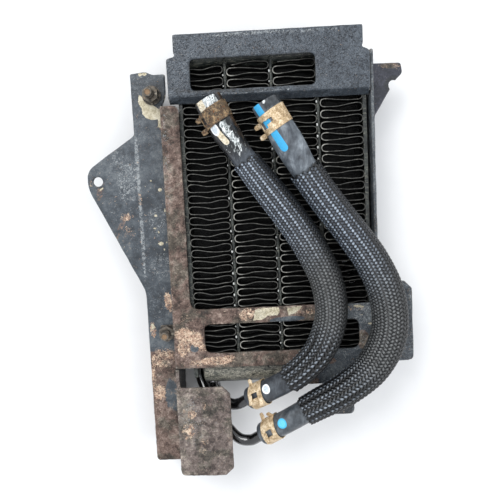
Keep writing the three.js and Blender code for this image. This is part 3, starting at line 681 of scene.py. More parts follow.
def blue_marks(from_end, from_pipe, angle, radius):
    """The stripe and dot on the hose with blue marks."""
    arc = np.radians(angle) * radius
    degree = math.radians(1) * FREE_END_RADIUS
    stripe_centre = (-44 + 14 * np.clip(from_end / 33, 0, 1)) * degree
    stripe = capsule(from_end, arc - stripe_centre, -5, 30.8, 2.7)
    dot = oval(from_pipe, arc, 21.3, math.radians(-22) * PIPE_END_RADIUS, 3.1, 3.6)
    # A painted highlight along the free end's lip.
    film_and_highlight = (1 - smooth(from_end, 1.5, 4)) * smooth(-np.abs(angle + 6), -14, -4) * 0.7
    oil = 0.85 * (1 - smooth(from_end, 5, 8)) * smooth(angle, -30, -10)
    oil = np.maximum(oil, 0.55 * (1 - smooth(from_pipe, 34, 50)))
    return {"mark": stripe, "dot": dot, "film_and_highlight": film_and_highlight, "oil": oil}


# ---- braided sleeves --------------------------------------------------------------------------------
CARRIERS = 28  # strands that run each way round; a multiple of 4 closes the two-over, two-under weave
BRAID_SLOPE = 0.98  # how far a strand goes round for each millimetre along
STRAND_RISE = 0.42  # how far a strand rides over and under its neighbours
STRAND_SECTION = [(-0.88, -0.04), (-0.6, 0.22), (-0.3, 0.2), (0.0, 0.32), (0.3, 0.2), (0.6, 0.22),
                  (0.88, -0.04), (0.0, -0.2)]  # three filaments side by side, across and out
RIBS = 11  # lengthwise folds where a sleeve is drawn in over its hose
STRAND_STEP = 0.5
STRAND_FILL = 0.98  # a strand's share of the room it has
FRAY = 0.5  # how far strand ends stand out


def add_sleeve(colour, points, start, end, side_profile, front_profile, ribs, seed):
    """A tube of strands woven two over, two under, in two pieces: the strands that lean each way."""
    route = Route(points)
    chance = random.Random(seed)
    count = int((end - start) / STRAND_STEP)
    stations = np.linspace(start, end, count)
    share = (stations - start) / (end - start)
    side_radius = np.interp(share, *zip(*side_profile))
    front_radius = np.interp(share, *zip(*front_profile))
    mean = (side_radius + front_radius) / 2
    rib_depth, rib_length, rib_slope = ribs
    drawn = 1 - smooth(stations, start + 0.35 * rib_length, start + rib_length)
    slope = BRAID_SLOPE + (rib_slope - BRAID_SLOPE) * drawn
    turn = np.r_[0, np.cumsum((slope / mean)[:-1] * np.diff(stations))]
    clean = np.maximum(0.08 + 0.92 * smooth(share, 0.46, 0.78), 0.55 * drawn)
    lean_angle = math.atan(BRAID_SLOPE)
    width_round, width_along = math.cos(lean_angle) * STRAND_FILL, math.sin(lean_angle) * STRAND_FILL
    for lean, way in (("left", 1), ("right", -1)):
        heap = Heap()
        glint_and_shade_rows, cleans = [], []
        for carrier in range(CARRIERS):
            angle = 2 * math.pi * carrier / CARRIERS + way * turn
            crossing = 2 * carrier + way * CARRIERS * turn / math.pi
            wave = way * np.cos(math.pi / 2 * (crossing - 0.5))
            rise = STRAND_RISE * wave
            first, last = chance.randint(0, 5), count - chance.randint(0, 5)
            fray = FRAY * chance.random() * smooth(stations, end - 4, end)
            fray = fray + FRAY * chance.random() * (1 - smooth(stations, start, start + 4))
            rings, section = [], []
            for across, out in STRAND_SECTION:
                # A strand's width lies at right angles to it: partly round the sleeve, partly along it.
                around = across * width_round / mean
                along = -way * across * width_along
                groove = rib_depth * drawn * (1 - np.abs(np.cos(RIBS / 2 * (angle + around))) ** 0.7)
                lift = out + rise + fray - groove
                rings.append(route.skin(stations + along, angle + around,
                                        side_radius + lift, front_radius + lift))
                # Painted light: a glint on each strand's crest, and painted shade on the sleeve's right side,
                # on the strands leaning right, and in the rib grooves.
                height = 0.62 * smooth(out + 0.6 * rise, -0.15, 0.5) + 0.38 * np.maximum(wave, 0) ** 2
                side_shade = 1 - (0.2 * clean if way < 0 else 0) - 0.38 * smooth(np.sin(angle + around), 0.2, 0.9)
                shade = 1 - 0.95 * drawn * smooth(groove, 0.1 * rib_depth, 0.6 * rib_depth)
                section.append(side_shade * height * shade)
            heap.add(np.stack(rings, 1)[first:last])
            glint_and_shade_rows.append(np.stack(section, 1)[first:last].ravel())
            cleans.append(np.repeat(clean[first:last], len(STRAND_SECTION)))
        sleeve = heap.piece(f"sleeve_{colour}_{lean}", MATERIALS["braid"], "braided_sleeve",
                            (f"sleeve_{colour}",) if lean == "left" else ())
        write_mask(sleeve, "glint_and_shade", np.concatenate(glint_and_shade_rows))
        write_mask(sleeve, "clean", np.concatenate(cleans))
        face_outwards(sleeve)


# ---- spring clamps ----------------------------------------------------------------------------------
BAND_THICKNESS = 0.7


def add_clamp(name, node, points, from_end, centre, radius, width, windows, ears, material, tilt=0.0):
    """A spring band round a hose at a distance along it, with windows cut through and ears bent out.
    Windows are (angle from, angle to, along from, along to); ears are (angle, along, width, length, lean).
    """
    route = Route(points)
    station = route.length - centre if from_end else centre
    way = -1 if from_end else 1
    columns = np.linspace(-width / 2, width / 2, 27)
    angles = np.radians(np.arange(-180, 180, 3.0))
    grid_a, grid_l = np.meshgrid(angles, columns, indexing="ij")

    def place(angle, along, out):
        """A point on the band, tilted a little so that one side sits further along the hose."""
        shift = way * along + tilt * np.sin(angle)
        return route.skin(station + shift, angle, radius + out)

    def cut(angle, along):
        degrees = math.degrees(angle)
        return any(a0 <= degrees <= a1 and l0 <= along <= l1 for a0, a1, l0, l1 in windows)

    flare = 0.1 * (2 * np.abs(grid_l) / width) ** 4 + 0.06 * np.sin(3 * grid_a + 1.3)
    vertices = list(place(grid_a, grid_l, flare).reshape(-1, 3))
    n = len(columns)
    faces = []
    for i in range(len(angles)):
        for j in range(n - 1):
            middle = angles[i] + math.radians(1.5), (columns[j] + columns[j + 1]) / 2
            if not cut(*middle):
                k = (i + 1) % len(angles)
                faces.append((i * n + j, i * n + j + 1, k * n + j + 1, k * n + j))
    for angle, along, ear_width, ear_length, lean in ears:
        first = len(vertices)
        steps = 6
        for step in range(steps + 1):
            share = step / steps
            curl = math.sin(share * math.pi / 2)
            for side in (-0.5, -0.17, 0.17, 0.5):
                half = side * ear_width * math.sqrt(1 - 0.72 * share ** 4)
                spot = math.radians(angle + lean * (share + 0.35 * math.sin(math.pi * share)))
                vertices.append(place(spot, along + half, 0.4 + ear_length * curl * share ** 0.5))
        for step in range(steps):
            for k in range(3):
                a = first + step * 4 + k
                faces.append((a, a + 1, a + 5, a + 4))
    clamp = add_piece(name, np.array(vertices, float), faces, material, (node,))
    plate = clamp.modifiers.new("plate", "SOLIDIFY")
    plate.thickness = BAND_THICKNESS * MM
    plate.offset = 0
    plate.use_even_offset = True
    soften = clamp.modifiers.new("soften", "SUBSURF")
    soften.levels = soften.render_levels = 1
    keep_modifiers(clamp)
    work = bmesh.new()
    work.from_mesh(clamp.data)
    drop_loose(work)
    work.to_mesh(clamp.data)
    work.free()
    face_outwards(clamp)


# ---- making the soft parts --------------------------------------------------------------------------
add_sleeve("white", HOSE_WHITE_ROUTE, 32.6, 208.6,
           [(0, 8.8), (0.1, 9.4), (0.26, 10.3), (0.5, 10.4), (0.78, 10.0), (0.92, 9.2), (1, 8.4)],
           [(0, 8.8), (0.1, 9.3), (0.26, 10.0), (0.5, 10.0), (0.78, 9.8), (0.92, 9.1), (1, 8.4)],
           (1.3, 62, 0.62), 11)
add_sleeve("blue", HOSE_BLUE_ROUTE, 36.8, 245.0,
           [(0, 9.4), (0.12, 10.6), (0.35, 11.7), (0.55, 11.2), (0.8, 10.3), (1, 10.2)],
           [(0, 9.1), (0.12, 10.1), (0.35, 10.1), (0.55, 10.1), (0.8, 10.1), (1, 10.1)], (0.9, 70, 0.75), 12)
add_clamp("clamp_white_pipe_band", "clamp_white_pipe", HOSE_WHITE_ROUTE, False, 9.4, 8.5, 11,
          [(-36, -12, -2.6, 2.2)],
          [(-82, -3.4, 3.4, 3.8, -10), (-30, -3.2, 3.0, 3.6, 30), (-8, 3.6, 3.0, 3.0, 25)],
          MATERIALS["clamp"], -1.5)
add_clamp("clamp_white_free_band", "clamp_white_free", HOSE_WHITE_ROUTE, True, 11.5, 9.55, 11,
          [(-80, -52, -2.2, 2.2)], [(-104, -3.5, 3.6, 4.5, -6), (-102, 4.6, 3.6, 4.5, -6)],
          MATERIALS["clamp_dark"], 0.8)
add_clamp("clamp_blue_pipe_band", "clamp_blue_pipe", HOSE_BLUE_ROUTE, False, 9.4, 8.5, 11.5,
          [(-28, 2, -2.4, 2.6)],
          [(-96, -4.0, 3.6, 4.6, -8), (-92, 3.8, 3.6, 4.0, 10), (-20, -2.4, 2.6, 3.4, 34)],
          MATERIALS["clamp"], -1.5)
add_clamp("clamp_blue_free_band", "clamp_blue_free", HOSE_BLUE_ROUTE, True, 13.0, 9.55, 12.4,
          [(-74, -42, -2.6, 2.2), (-44, -12, -1.9, 0.4)],
          [(-104, -2.2, 3.6, 4.8, -6), (-102, 5.2, 3.6, 4.8, -6)], MATERIALS["clamp"], 0.6)
add_hose("white", HOSE_WHITE_ROUTE, (7.7, 44, 9.1, 0), white_marks)
add_hose("blue", HOSE_BLUE_ROUTE, (7.9, 75, 9.1, 0.9), blue_marks)

# ---- core -------------------------------------------------------------------------------------------
TUBE_PITCH = 31
COLUMN_CENTRES = (-46.5, -15.5, 15.5, 46.5)
FIN_HALF_WIDTH = 14.1
FIN_FIRST_ROW = -101
FIN_ROW = 3.75
FIN_ROWS = 53
LOOP_SQUARENESS = 0.85
LOOP_HEIGHT = 5.2
LOOP_DEPTH = 3.4
COLUMN_LIFT = (0.1, 1.7, 1.8, 0.9)  # how much higher each column's folds sit
COLUMN_SAG = (-0.95, 0.7, 0.3, -0.5)  # how far the middle of each row hangs or rises


def fin_line(column, chance):
    """The folded fin seen from the front: rows of ribbon joined by a round loop at each end."""
    flat = FIN_HALF_WIDTH - LOOP_DEPTH
    lift = FIN_FIRST_ROW + COLUMN_LIFT[column]
    points = []
    ends = {}

    def loop_centre(row, side):
        # Even rows join the row above at the right, odd rows at the left.
        joins_above = (row % 2 == 0) == (side > 0)
        centre = row + 0.5 if joins_above else row - 0.5
        key = (centre, side)
        if key not in ends:
            height = lift + centre * FIN_ROW + chance.uniform(-0.25, 0.25)
            ends[key] = height, LOOP_HEIGHT / 2 * chance.uniform(0.92, 1.05)
        middle, half = ends[key]
        return middle, half, joins_above

    for row in range(FIN_ROWS + 1):
        way = 1 if row % 2 == 0 else -1
        start, start_half, start_above = loop_centre(row, -way)
        end, end_half, end_above = loop_centre(row, way)
        y0 = start - start_half if start_above else start + start_half
        y1 = end - end_half if end_above else end + end_half
        sag = COLUMN_SAG[column] + chance.uniform(-0.35, 0.35)
        ripple, phase = chance.uniform(0.05, 0.3), chance.uniform(0, 6.3)
        for k in range(17):
            share = k / 16
            ease = share * share * (3 - 2 * share)
            hump = math.sin(math.pi * share) ** 2
            y = y0 + (y1 - y0) * ease + hump * (sag + ripple * math.sin(9 * share + phase))
            points.append((way * flat * (2 * share - 1), y))
        if row < FIN_ROWS:
            for k in range(1, 12):
                turn = math.pi * k / 12
                out = math.sin(turn) ** LOOP_SQUARENESS
                rise = -math.copysign(abs(math.cos(turn)) ** LOOP_SQUARENESS, math.cos(turn))
                points.append((way * (flat + LOOP_DEPTH * out), end + end_half * rise))
    return np.array(points)


def add_fins():
    for column, centre in enumerate(COLUMN_CENTRES):
        chance = random.Random(40 + column)
        line = fin_line(column, chance)
        line[:, 0] = np.clip(line[:, 0], -FIN_HALF_WIDTH, FIN_HALF_WIDTH)
        run = np.gradient(line, axis=0)
        run /= np.linalg.norm(run, axis=1, keepdims=True)
        side = np.stack([-run[:, 1], run[:, 0]], 1)
        # Front edges paler towards each column's left end; the first column's are painted dim as the frame's
        # shade.
        near_left = smooth(-line[:, 0], 7, 13)
        bright = near_left if column else 0.25 * near_left
        half = 0.23 + 0.08 * bright
        wave = np.array([0.18 * noise.noise(Vector((x * 0.3, y * 0.3, column))) for x, y in line])
        front = FIN_FRONT - 0.25 + wave
        back = np.full(len(line), FIN_BACK)
        section = [(-1, back), (-1, front), (-0.5, front + 0.12), (0.5, front + 0.12), (1, front), (1, back)]
        rings = []
        for offset, z in section:
            xy = line + side * (offset * half)[:, None] + (centre, 0)
            rings.append(np.c_[xy, z])
        vertices, faces = loft(np.stack(rings, 1))
        fin = add_piece(f"fin_column_{column + 1}_fold", vertices, faces, MATERIALS["fin"],
                        (f"fin_column_{column + 1}",))
        face_outwards(fin)
        write_mask(fin, "bare_edge_and_shade", np.repeat(0.3 + 0.7 * bright, len(section)))


BEAD_Z = 34.9
BEADS_MISSING = 0.12


def add_braze_beads():
    """Beads of brazing metal between the loops, where the fins touch the tubes."""
    chance = random.Random(7)
    heap = Heap()
    ring = np.linspace(0, 2 * math.pi, 10, endpoint=False)
    for column in (0, 1, 2):
        for fold in range(FIN_ROWS // 2 + 1):
            if chance.random() < BEADS_MISSING:
                continue
            size = chance.uniform(0.6, 1.25)
            x = COLUMN_CENTRES[column] + FIN_HALF_WIDTH + 0.25 + chance.uniform(-0.15, 0.15)
            y = FIN_FIRST_ROW + COLUMN_LIFT[column] + (2 * fold - 0.5) * FIN_ROW + chance.uniform(-0.4, 0.4)
            rings = []
            for k in range(1, 8):
                share = math.pi * k / 8
                wide = math.sin(share) * (1 + 0.2 * chance.uniform(-1, 1))
                radius = 0.55 * size * wide
                height = np.full(len(ring), y - 0.95 * size * math.cos(share))
                rings.append(np.c_[x + radius * np.cos(ring), height, BEAD_Z + radius * np.sin(ring)])
            heap.add(np.array(rings))
    beads = heap.piece("braze_beads", MATERIALS["braze"], "core_paint")
    face_outwards(beads)


# Gaps in the shade slab as (left, right, bottom, top).
SLITS = [(45, 48.6, -39.6, -38.4), (46.9, 51.8, -45.8, -44.2), (45.2, 54, -48.9, -47.5),
         (46, 56.3, -51.9, -50.4), (49.4, 53.6, -54.5, -53.6), (50.4, 56.3, -58.4, -57.2),
         (50.5, 56.2, -65.6, -64.3)]
SHADE_SLAB_HALF_WIDTH = 14.2
SHADE_SLAB_FRONT, SHADE_SLAB_BACK = 26, 24.5
SHADE_SLAB_LUMPS = 1.6


def add_deep_shade_slab():
    """A near-black slab inside the core behind its face, lumpy in front, that paints the shade deep between
    the fins, with the gaps where light shows through.
    """
    half = SHADE_SLAB_HALF_WIDTH
    xs = sorted({round(x, 2) for c in COLUMN_CENTRES for x in np.linspace(c - half, c + half, 15)}
                | {x for slit in SLITS for x in slit[:2]})
    ys = sorted(set(np.arange(-104, 101, 2.0)) | {y for slit in SLITS for y in slit[2:]})
    work = bmesh.new()
    layers = []

    def lumpy(x, y, z, lumps):
        return at(x, y, z + lumps * noise.noise(Vector((x * 0.35, y * 0.35, 3))))

    for z, lumps in ((SHADE_SLAB_FRONT, SHADE_SLAB_LUMPS), (SHADE_SLAB_BACK, 0)):
        layers.append([[work.verts.new(lumpy(x, y, z, lumps)) for y in ys] for x in xs])

    def filled(i, j):
        if not (0 <= i < len(xs) - 1 and 0 <= j < len(ys) - 1):
            return False
        x, y = (xs[i] + xs[i + 1]) / 2, (ys[j] + ys[j + 1]) / 2
        in_column = any(abs(x - c) < half for c in COLUMN_CENTRES)
        return in_column and not any(a < x < b and c < y < d for a, b, c, d in SLITS)

    front, back = layers
    for i in range(len(xs) - 1):
        for j in range(len(ys) - 1):
            if not filled(i, j):
                continue
            work.faces.new((front[i][j], front[i + 1][j], front[i + 1][j + 1], front[i][j + 1]))
            work.faces.new((back[i][j], back[i][j + 1], back[i + 1][j + 1], back[i + 1][j]))
            for di, dj, a, b in ((-1, 0, (i, j), (i, j + 1)), (1, 0, (i + 1, j + 1), (i + 1, j)),
                                 (0, -1, (i + 1, j), (i, j)), (0, 1, (i, j + 1), (i + 1, j + 1))):
                if not filled(i + di, j + dj):
                    work.faces.new((front[a[0]][a[1]], front[b[0]][b[1]], back[b[0]][b[1]], back[a[0]][a[1]]))
    drop_loose(work)
    bmesh.ops.recalc_face_normals(work, faces=work.faces)
    mesh = bpy.data.meshes.new("deep_shade_slab")
    work.to_mesh(mesh)
    work.free()
    mesh.shade_smooth()
    deep_shade = bpy.data.objects.new("deep_shade_slab", mesh)
    bpy.context.scene.collection.objects.link(deep_shade)
    mesh.materials.append(MATERIALS["deep_shade"])
    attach(deep_shade, "root")


HEADER_RADIUS = 9.5
HEADER_Z = 27
CAP_PROFILE = [(-57.3, 0.6), (-57.2, 4), (-56.9, 7), (-56.3, 8.6), (-55.4, 9.4), (-55, 9.4)]
TUBE_RINGS = 120


def add_header(name, y, dusty_from, dusty_to):
    """A tank: a round tube with pressed caps, a shallow groove at each cap's seam, and weld beads where the
    flat tubes enter.
    """
    heap = Heap()
    angles = np.linspace(0, 2 * math.pi, 72, endpoint=False)
    cap_x, cap_r = np.array(CAP_PROFILE, float).T
    xs = np.r_[cap_x, np.linspace(-54.6, 54.6, TUBE_RINGS), -cap_x[::-1]]
    rs = np.r_[cap_r, np.full(TUBE_RINGS, 9.42), cap_r[::-1]]
    rs = rs - 0.25 * np.exp(-((np.abs(xs) - 54.2) / 0.35) ** 2)
    rings = []
    for x, r in zip(xs, rs):
        swell = [noise.noise(Vector((x * 0.08, 2 * math.cos(a), 2 * math.sin(a)))) for a in angles]
        radius = r + (0.12 * np.array(swell) - 0.08) * min(1, r / 9)
        rings.append(np.c_[np.full(len(angles), x), y + radius * np.cos(angles),
                           HEADER_Z + radius * np.sin(angles)])
    heap.add(rings)
    towards = 1 if y < 0 else -1
    bead_turns = np.linspace(0, 2 * math.pi, 48, endpoint=False)
    tube_turns = np.linspace(0, 2 * math.pi, 10, endpoint=False)
    for x in (-TUBE_PITCH, 0, TUBE_PITCH):
        rings = []
        for a in bead_turns:
            # Round the flat tube where it enters the tank.
            bx, bz = 1.6 * math.cos(a), 7.9 * math.sin(a)
            surface = math.sqrt(HEADER_RADIUS**2 - min(bz * bz, 80))
            out = np.array([math.cos(a), 0, math.sin(a)])
            up = np.array([0, towards, 0])
            centre = np.array([x + bx, y + towards * surface, HEADER_Z + bz])
            radius = 0.75 + 0.15 * math.sin(5 * a + x)
            rings.append([centre + radius * (math.cos(t) * out + math.sin(t) * up) for t in tube_turns])
        heap.add(rings, wrap=True)
    tank = heap.piece(f"{name}_tank", MATERIALS["core"], "core_paint",
                      (name, f"{name}_cap_left", f"{name}_cap_right"))
    face_outwards(tank)

    def dust(x, y, z):
        band = smooth(y, dusty_from, dusty_from + 3) * (1 - smooth(y, dusty_to - 3, dusty_to))
        return float(band * smooth(z, 28, 31))

    paint_mask(tank, "dust", dust)


def add_pipe(name, points, end_bead):
    """A smooth bent pipe, open at the hose end, with a braze fillet where it leaves its tank."""
    route = Route(points)
    stations = np.linspace(1, route.length, int(route.length / 1.0))
    radius = 3.95 + 1.3 * np.exp(-((stations - end_bead) / 1.5) ** 2)
    radius[-1] -= 0.3
    grid_s, grid_a = np.meshgrid(stations, ROUND[::2], indexing="ij")
    skin = route.skin(grid_s, grid_a, radius[:, None] * np.ones(32))
    bore = route.skin(grid_s, grid_a, np.full(grid_s.shape, 3.0))[::-1]
    vertices, faces = loft(np.concatenate([skin, bore]), wrap=True)
    pipe = add_piece(f"{name}_bend", vertices, faces, MATERIALS["pipe"], (name,))
    face_outwards(pipe)


# ---- sheet metal ------------------------------------------------------------------------------------
def spots(x, y, patches, soft=0.35):
    """How strongly patches cover each place: each is (x, y, half width, half height, strength, turn)."""
    cover = np.zeros_like(x)
    for cx, cy, half_x, half_y, strength, turn in patches:
        c, s = math.cos(math.radians(turn)), math.sin(math.radians(turn))
        u = ((x - cx) * c + (y - cy) * s) / half_x
        v = ((y - cy) * c - (x - cx) * s) / half_y
        cover = np.maximum(cover, strength * (1 - smooth(np.hypot(u, v), 1 - soft, 1 + soft)))
    return cover


def patch(x, y, corners, soft=1.2):
    """1 well inside a polygon, 0 well outside it and a half on its outline."""
    inside = np.zeros(x.shape, bool)
    nearest = np.full(x.shape, 1e9)
    for (ax, ay), (bx, by) in zip(corners, corners[1:] + corners[:1]):
        dx, dy = bx - ax, by - ay
        share = np.clip(((x - ax) * dx + (y - ay) * dy) / (dx * dx + dy * dy), 0, 1)
        nearest = np.minimum(nearest, np.hypot(x - ax - share * dx, y - ay - share * dy))
        crosses = (ay > y) != (by > y)
        inside ^= crosses & (x < (bx - ax) * (y - ay) / ((by - ay) or 1) + ax)
    return np.clip(0.5 + np.where(inside, nearest, -nearest) / (2 * soft), 0, 1)


def add_sheet(node, material, voxel, relief, masks):
    """A copy of a CAD sheet with softened edges and an uneven surface, and its wear, painted highlights and
    painted shade as masks.
    """
    piece = bpy.data.objects.new(f"{node}_sheet", NODES[node].data.copy())
    bpy.context.scene.collection.objects.link(piece)
    piece.data.materials.clear()
    piece.data.materials.append(material)
    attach(piece, "root")
    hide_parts(node)
    remesh = piece.modifiers.new("remesh", "REMESH")
    remesh.mode = "VOXEL"
    remesh.voxel_size = voxel * MM
    remesh.use_smooth_shade = True
    soften = piece.modifiers.new("soften", "SMOOTH")
    soften.factor = 0.5
    soften.iterations = 2
    keep_modifiers(piece)
    mesh = piece.data
    count = len(mesh.vertices)
    places = np.empty(count * 3)
    normals = np.empty(count * 3)
    mesh.vertices.foreach_get("co", places)
    mesh.vertices.foreach_get("normal", normals)
    places, normals = places.reshape(-1, 3), normals.reshape(-1, 3)
    x, y, z = places[:, 0] / MM - CORE_X, places[:, 1] / MM - CORE_Y, places[:, 2] / MM
    masks = {"rust": 0.0, "scale": 0.0, "chip": 0.0, "scuff_and_highlight": 0.0, "grime_and_shade": 0.0, **masks(x, y, z)}
    values = {name: np.asarray(value, float) * np.ones(count) for name, value in masks.items()}
    rough = np.clip(values["rust"], 0, 1)
    waves = np.array([noise.noise(Vector(p) / (9 * MM)) for p in places])
    pits = np.array([noise.noise(Vector(p) / (1.9 * MM)) for p in places])
    height = 0.22 * waves + relief * (0.35 + 0.65 * rough) * pits
    height += 0.3 * np.clip(values["scale"] - 0.2, 0, 1) * np.clip(pits + 0.4, 0, 1)
    height -= 0.12 * values["chip"] + 0.1
    moved = places + normals * (height * MM)[:, None]
    low, high = (np.array(corner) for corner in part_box(node))
    mesh.vertices.foreach_set("co", np.clip(moved, low, high).ravel())
    for name, value in values.items():
        write_mask(piece, name, value)
    mesh.update()


def frame_masks(x, y, z):
    """Rust over the left bar and most of the lower bars, slate paint to the right."""
    left = 1 - smooth(x, 16, 30)
    rust = 0.95 * left + 0.12
    rust = np.maximum(rust, 0.9 * spots(x, y, [(56, -92, 4.5, 7, 1, 0), (33, -106, 4, 2.5, 0.8, 0)]))
    rust -= 0.9 * spots(x, y, [(-61.5, -93.5, 3, 3, 1, 0), (4, -75.5, 13, 2.2, 1, 3),
                               (-4, -71, 5, 3, 0.5, 0)])
    rust = np.where(z < 37, np.maximum(rust, 0.35), rust)
    scale = spots(x, y, [
        (-68, -84, 7, 5.5, 0.72, 0), (-60, -87, 5, 6, 0.66, 0), (-69, -93, 5, 7, 0.6, 0),
        (-55.5, -93.5, 3.5, 3, 0.6, 0), (-47, -103, 13, 3.4, 0.62, 0), (-38, -101, 5, 1.8, 0.66, 0),
        (-60, -104, 6, 2.5, 0.45, 0), (-24, -71, 6, 4.5, 0.62, 20), (-15.5, -70.5, 5, 4, 0.56, 0),
        (10, -69.5, 6, 3, 0.5, 0), (19, -71, 6, 2.5, 0.45, 0), (-65, -71, 2, 2, 0.4, 0),
        (-75, -60, 1.5, 8, 0.3, 0), (50, -69.5, 9, 2.2, 0.38, 0), (33, -98, 6, 2, 0.28, 0)])
    chip = np.maximum.reduce([
        patch(x, y, [(-18, -68), (-13, -66.8), (-1.5, -66.6), (-1, -69.7), (-2.4, -72.4), (-9.8, -72.6),
                     (-13.3, -75), (-20, -75.6), (-18.5, -71.3)]),
        patch(x, y, [(4, -68), (9, -66.8), (14, -66.8), (12.5, -69), (9, -71.8), (5, -72.5)]),
        spots(x, y, [(61.3, -80.8, 2.6, 0.8, 0.75, 0), (53.6, -68.4, 4.2, 1.2, 0.6, -5),
                     (55, -74.5, 1.1, 0.7, 0.6, 0), (62, -74, 0.8, 1.6, 0.55, 0),
                     (42, -68, 2.5, 1, 0.5, 0)])])
    # More scuff on the right: pale wear, and painted light that offsets the hoses' shadow there.
    scuff_and_highlight = 0.22 + 0.14 * (1 - left) + spots(x, y, [(-73, 35, 2.4, 36, 0.16, 0), (60, -72, 12, 9, 0.12, 0)])
    # Darker patches: painted shade from the hoses over the right tab, and darkening on the bottom tab under
    # the blue hose and along the lower bar at y -75.8.
    grime_and_shade = spots(x, y, [(84, -78, 9, 44, 0.42, 0), (38, -134, 12, 18, 0.72, 0), (0, -75.8, 14, 2, 0.4, 2)])
    return {"rust": rust, "scale": np.maximum(scale, 0.17 * (z > 37)), "chip": chip * (z > 38),
            "scuff_and_highlight": scuff_and_highlight, "grime_and_shade": grime_and_shade}


def bracket_masks(x, y, z):
    rust = 0.18 + 0.75 * smooth(-y, 92, 104) - 0.55 * spots(x, y, [(-81, -130, 6, 14, 1, 0)])
    rust = np.maximum(rust, 0.85 * spots(x, y, [(-87, -165, 14, 20, 1, 0), (-93.5, -120, 3, 26, 0.8, 0)]))
    rust = np.maximum(rust, spots(x, y, [
        (-113, -12, 2.4, 22, 0.48, -31), (-106, -13, 6, 9, 0.42, 0), (-123, 18, 3, 8, 0.5, -20),
        (-90, 93, 8, 4, 0.35, 0)]))
    scale = spots(x, y, [
        (-88, -103, 8, 8, 0.5, 0), (-92, -82, 2.4, 6, 0.6, 0), (-93.5, -120, 1.8, 18, 0.5, 0),
        (-90, -128, 4.5, 6.5, 0.62, 0), (-82, -100, 5, 5, 0.5, 0), (-105, 0, 6, 3, 0.42, 15),
        (-104.5, -9, 4, 3, 0.36, 0), (-103.5, 1, 3, 1.6, 0.42, 0), (-95.3, 12, 1.6, 5, 0.46, 0),
        (-79.5, -62, 3.2, 8, 0.62, 8), (-127, 27, 5, 7, 0.24, 0), (-77.8, 66, 1.4, 8, 0.55, 0)])
    chip = np.maximum.reduce([
        patch(x, y, [(-91, 83.3), (-88.4, 81.4), (-85.6, 79), (-81.4, 75.4), (-77.6, 72.8), (-76.4, 73),
                     (-76.4, 60), (-79.2, 61), (-79.2, 66), (-83.5, 66), (-86.9, 67.2), (-89.5, 70.2),
                     (-89.9, 73.9), (-91.6, 76.9), (-92, 80.8)], 0.9),
        spots(x, y, [(-89.5, 97, 1.3, 1.2, 0.9, 0), (-86.5, 97.2, 1.5, 1.2, 0.9, 0),
                     (-80.8, 17.8, 1.5, 1.4, 0.8, 0), (-86.6, 24.3, 0.8, 0.8, 0.7, 0),
                     (-78.2, 3.2, 0.9, 2, 0.6, 0), (-82.5, -20, 2.2, 1.6, 0.66, 0),
                     (-78.4, -19.2, 0.9, 0.8, 0.66, 0), (-80.3, -24.2, 0.9, 1, 0.6, 0),
                     (-85.9, -9, 1.6, 1, 0.6, 0), (-83.5, -12, 1.2, 1.2, 0.6, 0),
                     (-84.8, -0.3, 1.8, 1.1, 0.6, 0), (-121.8, 20.2, 1.8, 0.7, 0.8, 35),
                     (-91, 20.6, 0.6, 0.6, 0.6, 0), (-92.3, -79.3, 2.2, 2.4, 0.55, 0),
                     (-72.8, 80.6, 1.2, 3, 0.66, -15)])])
    scuff_and_highlight = 0.2 + spots(x, y, [
        (-103, 24, 9, 16, 0.24, 0), (-95.4, 34, 1.6, 26, 0.34, 0), (-95.2, -14, 1.5, 34, 0.32, 0),
        (-108, 40, 8, 8, 0.2, 0), (-84, -36, 9, 10, 0.2, 0), (-84, -4, 7, 12, 0.2, 0),
        (-92, 60, 5, 20, 0.1, 0), (-87, -62, 9, 14, 0.12, 0), (-112, 6, 14, 10, 0.1, 0),
        (-89, 90, 9, 7, 0.16, 0)])
    grime_and_shade = spots(x, y, [(-84.5, 80, 5, 6, 0.5, 0), (-77, 84, 4, 8, 0.5, 0), (-80, -84, 5, 7, 0.42, 0),
                         (-80, 20, 5, 40, 0.2, 0), (-124.1, 25.3, 5.4, 5.4, 0.44, 0)])
    return {"rust": rust, "scale": np.maximum(scale, 0.15), "chip": chip, "scuff_and_highlight": scuff_and_highlight, "grime_and_shade": grime_and_shade}


def rail_masks(x, y, z):
    return {"rust": 0.45 + 0.4 * smooth(-y, 60, 100), "scale": 0.18, "scuff_and_highlight": 0.24}


def cover_masks(x, y, z):
    # Thin pale lines along the top edge and the lower lip are painted highlights on the bends; the rest is
    # pale wear.
    scuff_and_highlight = 0.1 + spots(x, y, [(-15, 116.4, 30, 1.3, 0.4, 1), (-63, 110, 1.6, 7, 0.3, 0),
                               (25, 116, 24, 1.2, 0.34, 0), (-12, 106, 30, 8, 0.07, 0),
                               (35, 88, 16, 9, 0.1, 25), (-61, 84, 4, 4, 0.14, 0),
                               (-20, 78.6, 46, 0.8, 0.34, 1), (50, 84, 12, 4, 0.1, 0)])
    # Dark bands along y 80 to 84, above the lower lip, are painted shade at the bend; the patch at y 106 is
    # grime.
    grime_and_shade = spots(x, y, [(-30, 80.6, 40, 1.5, 0.56, -2), (-62, 82.5, 6, 1.8, 0.5, -15),
                         (24, 84, 14, 3.2, 0.42, 20), (8, 106, 14, 4, 0.3, 0),
                         (46, 80.5, 14, 1.6, 0.36, 0)])
    return {"rust": 0.1, "scale": 0.12, "scuff_and_highlight": scuff_and_highlight, "grime_and_shade": grime_and_shade}


